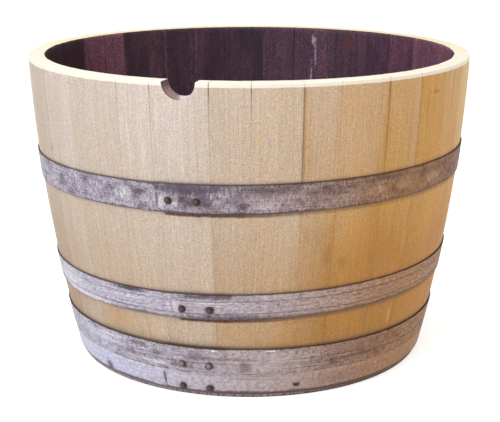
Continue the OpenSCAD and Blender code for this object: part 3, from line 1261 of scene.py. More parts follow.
def billet(height: float, *cuts: Iterable[float]) -> BMesh:
    """A straight box cut into a grid, ready to be bent into a piece.

    Args:
        height: How far it goes up Z from 0. Its width runs along X from -0.5 to 0.5, and its
            thickness along Y from 0 at the outer face to 1.
        *cuts: Places of the cuts across X, Y and Z.

    Returns:
        The mesh.
    """
    shape = bmesh.new()
    bmesh.ops.create_cube(shape, size=1.0)
    bmesh.ops.translate(shape, verts=shape.verts, vec=(0.0, 0.5, 0.5))
    bmesh.ops.scale(shape, verts=shape.verts, vec=(1.0, 1.0, height))
    for axis, places in zip(Matrix.Identity(3), cuts):
        for place in places:
            saw(shape, axis * place, axis)
    return shape


def pour(shape: BMesh, mesh: Mesh) -> None:
    """Writes a bmesh into a mesh, smooth between its sharp edges, and frees it.

    Args:
        shape: The bmesh.
        mesh: The mesh.
    """
    for face in shape.faces:
        face.smooth = True
    shape.to_mesh(mesh)
    shape.free()
    mesh.set_sharp_from_angle(angle=SHARP)


def settle(
    name: str, shape: BMesh, finishes: Iterable[Finish] = ()
) -> Object:
    """Turns a bmesh into an object at the origin.

    Args:
        name: Name of the piece.
        shape: Its mesh, which is freed.
        finishes: Finish of each material index.

    Returns:
        The object.
    """
    piece = bpy.data.objects.new(name, bpy.data.meshes.new(name))
    pour(shape, piece.data)
    for finish in finishes:
        piece.data.materials.append(finish.material())
    bpy.context.scene.collection.objects.link(piece)
    return piece


def stand_for(piece: Object, node: str) -> None:
    """Hangs a piece on the barrel in place of its node, and reports it.

    Args:
        piece: The finished piece.
        node: Node that it replaces.
    """
    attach(piece, "root")
    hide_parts(node)
    log.info("%s stands for %s with %d faces", piece.name, node, len(piece.data.polygons))


def drill(
    piece: Object, radii: tuple[float, float], length: float, places: list[Matrix]
) -> None:
    """Bores round holes through a piece.

    Args:
        piece: The piece.
        radii: Radius at the low and at the high end of the drill.
        length: Its length.
        places: Where its middle goes for each hole, with its axis on local Z.
    """
    tools = []
    for place in places:
        shape = bmesh.new()
        bmesh.ops.create_cone(
            shape, cap_ends=True, segments=64, radius1=radii[0], radius2=radii[1], depth=length
        )
        bmesh.ops.transform(shape, matrix=place, verts=shape.verts)
        tools.append(settle("drill", shape))
        cut = piece.modifiers.new("cut", "BOOLEAN")
        cut.operation, cut.solver, cut.object = "DIFFERENCE", "EXACT", tools[-1]
    graph = bpy.context.evaluated_depsgraph_get()
    bored = bpy.data.meshes.new_from_object(piece.evaluated_get(graph))
    bored.set_sharp_from_angle(angle=SHARP)
    piece.modifiers.clear()
    piece.data = bored
    for tool in tools:
        bpy.data.objects.remove(tool)


def store(mesh: Mesh, names: Sequence[str], rows: list[tuple]) -> None:
    """Stores vectors on the points of a mesh, for its materials.

    Args:
        mesh: The mesh.
        names: Names of the attributes.
        rows: The vectors of each point, one for each name.
    """
    for name, vectors in zip(names, zip(*rows)):
        layer = mesh.attributes.new(name, "FLOAT_VECTOR", "POINT")
        layer.data.foreach_set("vector", [part for vector in vectors for part in vector])


# ---- pieces


class StaveFace(IntEnum):
    """Material index of each side of a stave."""

    OUTSIDE, INSIDE, RIM, FOOT, JOINT, BORE = range(6)


BLANK_SIDES = {
    (-1, 0, 0): StaveFace.JOINT, (1, 0, 0): StaveFace.JOINT, (0, -1, 0): StaveFace.OUTSIDE,
    (0, 1, 0): StaveFace.INSIDE, (0, 0, 1): StaveFace.RIM, (0, 0, -1): StaveFace.FOOT,
}  # fmt: skip


@dataclass
class StaveRing:
    """The staves, from the bung stave anticlockwise.

    Attributes:
        widths: Width shares of the staves.
        columns: (share of the width, distance from the joint in millimetres) of the columns of
            points beside a joint.
        inner_columns: Shares of the width of the columns between them.
        plies: (share of the depth, depth in millimetres) of the points through the wall.
        low_rows: Heights in millimetres of rows of points round the groove.
        body_rows: Number of steps above them.
        rim_rows: Distances below the rim of its rows, in heights of its rounding.
        rim_round: Height of the rounded outer edge of the rim.
        rim_inner: Height of its rounded inner edge.
        foot_round: Height of the worn edge at the ground.
        foot_worn: Depth of that wear.
        lip: Length over which the rim's inner edge and the inside of a joint turn.
        vee: Depth to which an open joint narrows.
        slack: Play on each side of a joint.
        tight: Opening of every joint far below the rim, in millimetres.
        long_fade: A joint line that fades over more millimetres holds and then stops short.
        split: How far a joint opens on the inside.
        deepened: Millimetres in which the deeper tone beside a joint fades.
        corner: How far the outer corners at the joints are broken.
        uneven: How much deeper some staves lie than others.
        wave: How far the outside of a stave waves.
        jag: How unevenly the rim is sawn.
        reach: Largest radius that the sawn edge may have.
        finishes: Finish of each StaveFace.
    """

    widths: tuple[int, ...] = (
        84, 57, 71, 54, 77, 62, 78, 48, 68, 64, 59, 66, 63, 67, 78, 48,
        88, 63, 67, 69, 63, 93, 50, 61, 72, 66, 76, 65, 70, 73, 96, 52,
    )  # fmt: skip
    columns: tuple[tuple[float, float], ...] = ((0.42, 3.2), (0.46, 1.6), (0.48, 0.6), (0.5, 0.0))
    plies: tuple[tuple[float, float], ...] = (
        (0.0, 0.0), (0.06, 0.6), (0.12, 1.6), (0.24, 5.0), (0.5, 12.0), (0.8, 22.0), (0.94, 25.0),
        (1.0, 26.0),
    )  # fmt: skip
    inner_columns: tuple[float, ...] = (0.11, 0.22, 0.32)
    low_rows: tuple[float, ...] = (8, 21, 28, 35, 54, 64, 74)
    body_rows: int = 30
    rim_rows: tuple[float, ...] = (3.4, 1.0, 0.6, 0.3, 0.1)
    rim_round: float = 1.8 * MM
    rim_inner: float = 1.4 * MM
    foot_round: float = 2.5 * MM
    foot_worn: float = 1.2 * MM
    lip: float = 3 * MM
    vee: float = 7 * MM
    slack: float = 0.03 * MM
    tight: float = 0.04
    long_fade: float = 100.0
    split: float = 0.15 * MM
    deepened: float = 8.0
    corner: float = 0.06 * MM
    uneven: float = 0.16 * MM
    wave: float = 0.07 * MM
    jag: float = 0.35 * MM
    reach: float = CAD_BOX[1].x - 0.15 * MM
    finishes: tuple[Finish, ...] = (
        SandedOak("sanded_outside", bump=0.12 * MM),
        WineOak("wine_stained_oak", bump=0.25 * MM),
        SawnOak("sawn_oak", roughness=0.75, bump=0.25 * MM),
        StaveEnd("weathered_stave_end", roughness=0.8, bump=0.4 * MM),
        JointOak("jointed_oak", roughness=0.8, bump=0.15 * MM),
        BoredOak("bored_oak", roughness=0.7, bump=0.2 * MM),
    )

    def __post_init__(self) -> None:
        """Works out the joints' angles and each stave's look."""
        self.joints, self.looks = [], []
        total, draw = sum(self.widths), random.Random(11).uniform
        turned = BUNG_ANGLE - 180 * self.widths[0] / total
        for width in (*self.widths, 0):
            self.joints.append(turned)
            turned += 360 * width / total
        for index in range(len(self.widths)):
            # Warmer towards the right: painted warm light.
            warm_lit_side = 0.3 * math.sin(math.radians(self.span(index)[0]))
            usual = StaveLook(
                draw(-0.06, 0.04), 0.42 + warm_lit_side + draw(-0.12, 0.12), 0.12, draw(0.1, 0.6),
                draw(0.3, 0.9), draw(0.05, 0.5), draw(12, 50), draw(0.6, 1.0), draw(-0.2, 0.5),
            )  # fmt: skip
            self.looks.append(STAVE_LOOKS.get(index, usual))

    def span(self, index: int) -> tuple[float, float]:
        """Angle of a stave's middle and half the angle that it takes up."""
        start, end = self.joints[index], self.joints[index + 1]
        return (start + end) / 2, (end - start) / 2

    def look(self, index: int) -> StaveLook:
        """Look of a stave, counted on round the ring."""
        return self.looks[index % len(self.looks)]

    def rows(self) -> list[float]:
        """Heights at which the blank is cut, close together where its section turns.

        Returns:
            The heights.
        """
        groove, count = BARREL.croze_z - BARREL.croze_w / 2, self.body_rows
        foot = [0.3 * self.foot_round, self.foot_round, BARREL.chime_h]
        foot += [groove, groove + BARREL.croze_w, *(row * MM for row in self.low_rows)]
        rim = [BARREL.height - self.rim_round * row for row in self.rim_rows]
        low = max(foot)
        body = [low + (rim[0] - low) * step / count for step in range(1, count)]
        return sorted(foot) + body + rim

    def groove(self, shape: BMesh) -> list[BMFace]:
        """Inner faces of a blank that belong to the groove for the head.

        Args:
            shape: The blank.

        Returns:
            The faces.
        """
        return [
            face for face in shape.faces if face.material_index == StaveFace.INSIDE
            and abs(face.calc_center_median().z - BARREL.croze_z) < 0.505 * BARREL.croze_w
        ]  # fmt: skip

    def blank(self) -> BMesh:
        """A stave blank, cut into its grid, with its sides marked and its groove sunk.

        Returns:
            The mesh.
        """
        shares = [share for share, _ in self.columns[:-1]] + [*self.inner_columns]
        across = sorted([0.0, *shares, *(-share for share in shares)])
        through = [share for share, _ in self.plies[1:-1]]
        shape = billet(BARREL.height, across, through, self.rows())
        shape.normal_update()
        for face in shape.faces:
            face.material_index = BLANK_SIDES[tuple(round(part) for part in face.normal)]
        push(shape, self.groove(shape), (0.0, -BARREL.croze_d / BARREL.wall, 0.0))
        for face in self.groove(shape):
            face.material_index = StaveFace.JOINT
        return shape

    def at_rim(self, z: float, fade: float) -> float:
        """How much a height feels the drying of the rim, 1 at the rim and 0 far below."""
        power = 1 if fade < self.long_fade else 6
        return math.exp(-(((BARREL.height - z) / (fade * MM)) ** power))

    def shaped(self, index: int, spot: Vector) -> Vector:
        """Bends a place in the blank into a stave.

        Args:
            index: Number of the stave.
            spot: Place in the blank.

        Returns:
            Place on the barrel.
        """
        side, share, z, top = (-1 if spot.x < 0 else 1), abs(spot.x), spot.z, BARREL.height
        middle, half = self.span(index)
        joint = self.look(index + (side > 0))
        wall, lead = BARREL.wall_at(z), self.columns[0][0]
        deep = along(self.plies, spot.y) * MM / BARREL.wall
        worn = self.rim_round * between(z, top - self.rim_round, top) ** 1.7
        outer = max(worn, BARREL.out_r(z) - self.reach) + (self.corner if share > 0.499 else 0.0)
        outer += self.foot_worn * (1 - between(z, 0, self.foot_round)) ** 2
        torn = 1 + 1.6 * max(0.0, stray(spot.x * 3 + index * 5.1, 0.0, 2.2))
        inner = self.rim_inner * torn * between(z, top - self.lip, top) ** 2
        gap = self.tight + (joint.gap - self.tight) * self.at_rim(z, joint.fade)
        opening = gap * MM / 2 * max(0.0, 1 - deep * wall / self.vee) + self.slack
        opening += self.split * max(0.0, 1 - (1 - deep) * wall / self.lip)
        away = along(self.columns, share) * MM + opening * between(share, lead, 0.5)
        turn = middle + side * min(1.0, share / lead) * (half - BARREL.angle_of(away, z))
        sunk = self.uneven * (1 - stray(index * 7.3, 0.5, 0.0))
        sunk -= self.wave * stray(turn * 0.12, z * 9, 3.1)
        depth = outer + deep * (wall - outer - inner) + (1 - deep) * sunk
        if z > top - 0.1 * MM:
            z -= self.jag * abs(stray(turn * 0.35, spot.y * 2.0, 8.7))
        return BARREL.spot(turn, depth, z)

    def dress(self, piece: Object, index: int) -> None:
        """Stores grain place, joint line, tone with warmth and wine, and depth with crust.

        Args:
            piece: The stave.
            index: Its number.
        """
        draw, rows = random.Random(100 + index).uniform, []
        seeds = [draw(0.0, 3.0) for _ in range(3)]
        middle, half = self.span(index)
        look, before, after = (self.look(index + step) for step in (0, -1, 1))
        for co in (vert.co for vert in piece.data.vertices):
            radius, low = BARREL.out_r(co.z), 1 - co.z / BARREL.height
            off = (math.degrees(math.atan2(co.x, -co.y)) - middle + 180) % 360 - 180
            depth = radius - math.hypot(co.x, co.y)
            near = max(math.radians(half - abs(off)) * radius / MM, 0.0)
            left = off < 0
            side, joint, other = (look.left, look, before) if left else (look.right, after, after)
            felt = self.at_rim(co.z, joint.fade)
            line = joint.line * (joint.lasting + (1 - joint.lasting) * felt)
            long = joint.fade > self.long_fade
            # Deeper, warmer wood beside a joint, partly a painted step of shade between staves.
            deeper = side * (felt if long else 1.0) * math.exp(-near / self.deepened)
            mingled = 0.45 * max(low, 0.0) ** 0.7 * math.exp(-near / (4 + 18 * low))
            tone = look.tone + mingled * (other.tone - look.tone) - 0.10 * deeper
            warmth = look.warmth + mingled * (other.warmth - look.warmth) + 0.35 * deeper
            grain = (math.radians(off) * radius + seeds[0], depth + seeds[1], co.z + seeds[2])
            seam = (near, line, joint.spread)
            rows.append((grain, seam, (tone, warmth, look.wine), (depth, joint.crust, 0.0)))
        store(piece.data, ("plank", "seam", "look", "wall"), rows)

    def bore_bung(self, piece: Object) -> None:
        """Bores the half bung hole through the rim and breaks its edges.

        Args:
            piece: The bung stave.
        """
        away = BARREL.spot(BUNG_ANGLE, BARREL.wall / 2, BARREL.height)
        facing = turn_of(BUNG_ANGLE) @ turn_of(90, "X")
        radii = (BUNG_R - 2 * BUNG_TAPER, BUNG_R + BUNG_TAPER)
        drill(piece, radii, 3 * BARREL.wall, [Matrix.Translation(away) @ facing])
        shape, bore, axis = bmesh.new(), set(), facing @ Vector((0, 0, 1))
        shape.from_mesh(piece.data)
        for face in shape.faces:
            off = face.calc_center_median() - away
            radial = off - axis * off.dot(axis)
            inward = abs(face.normal.dot(axis)) < 0.3 and face.normal.dot(radial) < 0
            if inward and radial.length < BUNG_R + 0.5 * MM:
                face.material_index = StaveFace.BORE
                bore.add(face)
        lips = [edge for edge in shape.edges if len(bore.intersection(edge.link_faces)) == 1]
        break_edges(shape, lips)
        pour(shape, piece.data)

    def build(self) -> None:
        """Builds and dresses every stave."""
        straight = self.blank()
        for index in range(len(self.widths)):
            shape, node = straight.copy(), f"stave_{index:02d}" if index else "bung_stave"
            for vert in shape.verts:
                vert.co = self.shaped(index, vert.co)
            piece = settle(node + "_oak", shape, self.finishes)
            if not index:
                self.bore_bung(piece)
            self.dress(piece, index)
            stand_for(piece, node)
        straight.free()


class BoardFace(IntEnum):
    """Material index of each side of a head board."""

    TOP, UNDER, JOINT, DRILLED = range(4)


@dataclass
class Head:
    """The jointed head: boards across the barrel, held in the croze, with drain holes.

    Attributes:
        widths: Width shares of the boards, from the front one back.
        turned: Turn of the boards from side to side, in degrees.
        thick: Thickness of the boards.
        bevel: Width of the bevel that thins the edge to its groove.
        play: Play between the edge and the groove.
        slack: Play on each side of a joint.
        drain_r: Radius of a drain hole.
        drains: Board of each hole and its place along it.
        finishes: Finish of each BoardFace.
    """

    widths: tuple[int, ...] = (66, 80, 84, 82, 76, 88, 66)
    turned: float = 9.0
    thick: float = 22 * MM
    bevel: float = 18 * MM
    play: float = 0.3 * MM
    slack: float = 0.04 * MM
    drain_r: float = 6.5 * MM
    drains: tuple[tuple[int, float], ...] = (
        (1, 0.0), (3, -168 * MM), (3, 0.0), (3, 168 * MM), (5, 0.0),
    )  # fmt: skip
    finishes: tuple[Finish, ...] = (
        WineOak("wine_stained_head", bump=0.3 * MM, crystals=1.3),
        # The underside's colours are made lighter as painted light, since little light reaches it.
        JointOak("weathered_head_painted_light", 0.8, 0.3 * MM, tint(186, 156, 124), tint(112, 86, 66), 0.9),
        JointOak("jointed_head", 0.8),
        BoredOak("drilled_oak", 0.7, clean=tint(120, 90, 76)),
    )

    def radius(self) -> float:
        """Radius of the head in its groove."""
        z = BARREL.croze_z
        return BARREL.out_r(z) - BARREL.wall_at(z) + BARREL.croze_d - self.play

    def joint(self, index: int) -> float:
        """Place of the joint before a board, across the boards."""
        scale = 2 * self.radius() / sum(self.widths)
        return sum(self.widths[:index]) * scale - self.radius()

    def holes(self, index: int) -> list[Vector]:
        """Drain holes of a board, before its turn."""
        across = (self.joint(index) + self.joint(index + 1)) / 2
        return [Vector((place, across)) for number, place in self.drains if number == index]

    def disc(self) -> BMesh:
        """The whole head with its bevelled edge, before it is sawn into boards.

        Returns:
            The mesh.
        """
        shape, full = bmesh.new(), self.radius()
        half, tongue, flat = self.thick / 2, BARREL.croze_w / 2 - self.play, full - self.bevel
        bmesh.ops.create_circle(shape, cap_ends=True, segments=144, radius=flat)
        bmesh.ops.translate(shape, verts=shape.verts, vec=(0, 0, BARREL.croze_z - half))
        edges = shape.edges[:]
        steps = ((half - tongue, full / flat), (2 * tongue, 1.0), (half - tongue, flat / full))
        for rise, wider in steps:
            grown = bmesh.ops.extrude_edge_only(shape, edges=edges)["geom"]
            loop, edges = (only(kind, grown) for kind in (BMVert, BMEdge))
            bmesh.ops.translate(shape, verts=loop, vec=(0, 0, rise))
            bmesh.ops.scale(shape, verts=loop, vec=(wider, wider, 1.0))
        bmesh.ops.contextual_create(shape, geom=edges)
        bmesh.ops.recalc_face_normals(shape, faces=shape.faces)
        return shape

    def board(self, whole: BMesh, index: int) -> BMesh:
        """Saws one board out of a copy of the disc.

        Args:
            whole: The disc.
            index: Number of the board, from the front.

        Returns:
            The board, along X.
        """
        shape = whole.copy()
        for side, place in ((-1, self.joint(index)), (1, self.joint(index + 1))):
            if abs(place) < self.radius() * 0.999:
                saw(shape, (0, place - side * self.slack, 0), (0, side, 0), off=True)
        bmesh.ops.recalc_face_normals(shape, faces=shape.faces)
        shape.normal_update()
        sawn = {f for f in shape.faces if abs(f.normal.y) > 0.9 and f.calc_area() > 1e-3}
        sharp = [
            edge for edge in shape.edges
            if edge.calc_face_angle(0) > 1.0 and sawn.intersection(edge.link_faces)
        ]  # fmt: skip
        break_edges(shape, sharp)
        return shape

    def dress(self, piece: Object, index: int) -> None:
        """Sorts a board's faces by finish and stores what its materials read.

        Args:
            piece: The board.
            index: Its number.
        """
        level = turn_of(-self.turned)
        low, high, holes = self.joint(index), self.joint(index + 1), self.holes(index)
        draw, rows = random.Random(300 + index).uniform, []
        seeds, wine = [draw(0.0, 3.0) for _ in range(3)], draw(0.0, 0.35)
        for face in piece.data.polygons:
            up, middle = face.normal.z, (level @ face.center).xy
            bored = any((middle - hole).length < self.drain_r + 1 * MM for hole in holes)
            wall = BoardFace.DRILLED if bored else BoardFace.JOINT
            flat = BoardFace.TOP if up > 0 else BoardFace.UNDER
            face.material_index = flat if abs(up) > 0.3 else wall
        for flat in (level @ vert.co for vert in piece.data.vertices):
            near = max(0.0, min(flat.y - low, high - flat.y)) / MM
            grain = (flat.y + seeds[0], flat.z + seeds[1], flat.x + seeds[2])
            rows.append((grain, (near, 0.7, 1.0), (0.0, 0.3, wine), (0.0, 0.0, 0.0)))
        store(piece.data, ("plank", "seam", "look", "wall"), rows)

    def build(self) -> None:
        """Builds and dresses the boards, and gives the dowels their finish."""
        whole, turned = self.disc(), turn_of(self.turned)
        for index in range(len(self.widths)):
            shape, node = self.board(whole, index), f"head_board_{index + 1}"
            bmesh.ops.transform(shape, matrix=turned, verts=shape.verts)
            piece = settle(node + "_oak", shape, self.finishes)
            places = [(*hole, BARREL.croze_z) for hole in self.holes(index)]
            if places:
                drills = [turned @ Matrix.Translation(place) for place in places]
                drill(piece, (self.drain_r, self.drain_r), 2 * self.thick, drills)
            self.dress(piece, index)
            stand_for(piece, node)
        whole.free()
        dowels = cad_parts["head_dowels"].data.materials
        dowels.clear()
        dowels.append(TurnedBeech("turned_beech", bump=0.1 * MM).material())


@dataclass
class Hoop:
    """A lapped steel strip round the staves and the two rivets in its lap.

    Attributes:
        finish: Its zinc, which knows where it runs.
        rivets: Finish of its rivets.
        dents: (angle, height above the middle, radius, depth) of its dents.
        spacing: Distance between the cuts across it, near its lap and elsewhere.
        wave: How far its edges wander.
        edge: How far they are rounded.
        ripple: Depth of the ripples in its face.
        crease_w: Half width of a rolled crease.
        crease_d: Depth of a rolled crease.
        corner: Cut corner of the visible end.
        sag: How far the tucked end sits lower than the strip over it.
        sag_run: Length over which it gets there.
        rivet_r: Radius of a rivet head.
        rivet_h: Its height.
        shank_r: Radius of its shank.
    """

    finish: HoopZinc
    rivets: Finish = RivetRust("rivet_rust", bump=0.3 * MM)
    dents: tuple[tuple[float, float, float, float], ...] = ()
    spacing: tuple[float, float] = (4 * MM, 12 * MM)
    wave: float = 0.35 * MM
    edge: float = 0.15 * MM
    ripple: float = 0.12 * MM
    crease_w: float = 1.4 * MM
    crease_d: float = 0.55 * MM
    corner: float = 3 * MM
    sag: float = 1.2 * MM
    sag_run: float = 60 * MM
    rivet_r: float = 5.5 * MM
    rivet_h: float = 3.0 * MM
    shank_r: float = 3.0 * MM

    def __post_init__(self) -> None:
        """Takes the strip from its zinc and works out its lengths."""
        self.strip = self.finish.strip
        self.full = math.tau * BARREL.out_r(self.strip.z)
        self.length = self.full + self.strip.lap - TUCK

    def stations(self) -> list[float]:
        """Where the strip is cut across, closer together round the lap.

        Returns:
            Shares of its length, from -0.5.
        """
        (fine, coarse), lap, length = self.spacing, self.strip.lap, self.length
        places, at = [0.4 * MM / length - 0.5], fine
        while at < length - 1 * MM:
            places.append(at / length - 0.5)
            near = at < lap + JOGGLE + 8 * MM or at > length - lap - 20 * MM
            at += fine if near else coarse
        return places

    def rows(self) -> list[float]:
        """Heights of the cuts along the strip, with tight ones at edges and creases.

        Returns:
            The heights above its lower edge.
        """
        half = self.strip.width / 2
        rows = {half + side * (half - 0.5 * MM) for side in (-1, 1)} | {half}
        for side in (-1, 1):
            rows |= {half + side * high for high in (0.55 * half, half - self.corner)}
        for crease in self.strip.creases:
            rows |= {half + crease + share * self.crease_w for share in (-1.0, -0.4, 0.4, 1.0)}
        return sorted(rows)

    def shaped(self, spot: Vector) -> Vector:
        """Bends a place in the straight strip into the hoop.

        Args:
            spot: Place in the straight strip.

        Returns:
            Place on the barrel.
        """
        strip, half = self.strip, self.strip.width / 2
        run, up = (spot.x + 0.5) * self.length, spot.z - half
        clipped = max(0.0, abs(up) - (half - self.corner)) + strip.slant * (0.5 - up / strip.width)
        angle = BARREL.angle_of(run + clipped * (1 - between(run, 0, 12 * MM)), strip.z) + strip.end
        wander = stray(run * 14, math.copysign(5.0, up), strip.z * 50)
        rise = up + self.wave * wander * between(abs(up), 0.5 * half, half)
        if abs(up) > half - 0.01 * MM:
            rise -= math.copysign(self.edge, up)
        z = strip.middle(angle) + rise
        z -= self.sag * eased(between(run, self.full - self.sag_run, self.full))
        sink = self.ripple * stray(run * 35, up * 60, strip.z * 9)
        for crease in strip.creases:
            sink += self.crease_d * (1 - between(abs(up - crease) / self.crease_w, 0.0, 1.0))
        for turn, high, reach, deep in self.dents:
            aside = math.radians(angle - turn) * BARREL.out_r(strip.z)
            sink += deep * eased(1 - between(math.hypot(aside, up - high), 0.0, reach))
        sink = min(sink, 0.7 * HOOP_T) if spot.y < 0.5 else 0.0
        over = 1 - eased(between(run, strip.lap, strip.lap + JOGGLE))
        lift = HOOP_PLAY + (HOOP_T + HOOP_PLAY) * over + HOOP_T * (1 - spot.y)
        return BARREL.spot(angle, sink - lift, z)

    def build(self) -> None:
        """Builds and dresses the strip and its rivets."""
        strip, rows = self.strip, []
        shape = billet(strip.width, self.stations(), (), self.rows())
        for vert in shape.verts:
            x, y, z = vert.co
            run = (x + 0.5) * self.length + strip.start()
            rows.append(((run, y * HOOP_T, z - strip.width / 2),))
            vert.co = self.shaped(vert.co)
        piece = settle(strip.name + "_hoop_zinc", shape, (self.finish,))
        store(piece.data, ("strip",), rows)
        stand_for(piece, strip.name + "_hoop")
        self.build_rivets()

    def build_rivets(self) -> None:
        """Builds the two rivets as domed heads on their shanks."""
        shape, seats, name = bmesh.new(), self.strip.seats(), self.strip.name
        bmesh.ops.create_uvsphere(shape, u_segments=28, v_segments=16, radius=1.0)
        base = saw(shape, (0, 0, 0), (0, 0, -1), off=True)
        bmesh.ops.inset_region(shape, faces=base, thickness=1 - self.shank_r / self.rivet_r)
        push(shape, base, (0, 0, -1.2))
        size = (self.rivet_r, self.rivet_r, self.rivet_h)
        bmesh.ops.scale(shape, verts=shape.verts, vec=size)
        first, copied = shape.verts[:], bmesh.ops.duplicate(shape, geom=skin(shape))["geom"]
        for number, verts in enumerate((first, only(BMVert, copied))):
            centre, turn = seats[number]
            for vert in verts:
                beat = Vector((number * 5.0, self.strip.z * 90, 0)) + vert.co * 420
                vert.co *= 1 - 0.05 * abs(noise.noise(beat))
            bmesh.ops.transform(shape, matrix=Matrix.Translation(centre) @ turn, verts=verts)
        bmesh.ops.recalc_face_normals(shape, faces=shape.faces)
        piece, rows = settle(name + "_rivet_heads", shape, (self.rivets,)), []
        for vert in piece.data.vertices:
            centre, turn = min(seats, key=lambda seat: (seat[0] - vert.co).length)
            rows.append((turn.inverted() @ (vert.co - centre) / self.rivet_r,))
        store(piece.data, ("dome",), rows)
        stand_for(piece, name + "_rivets")


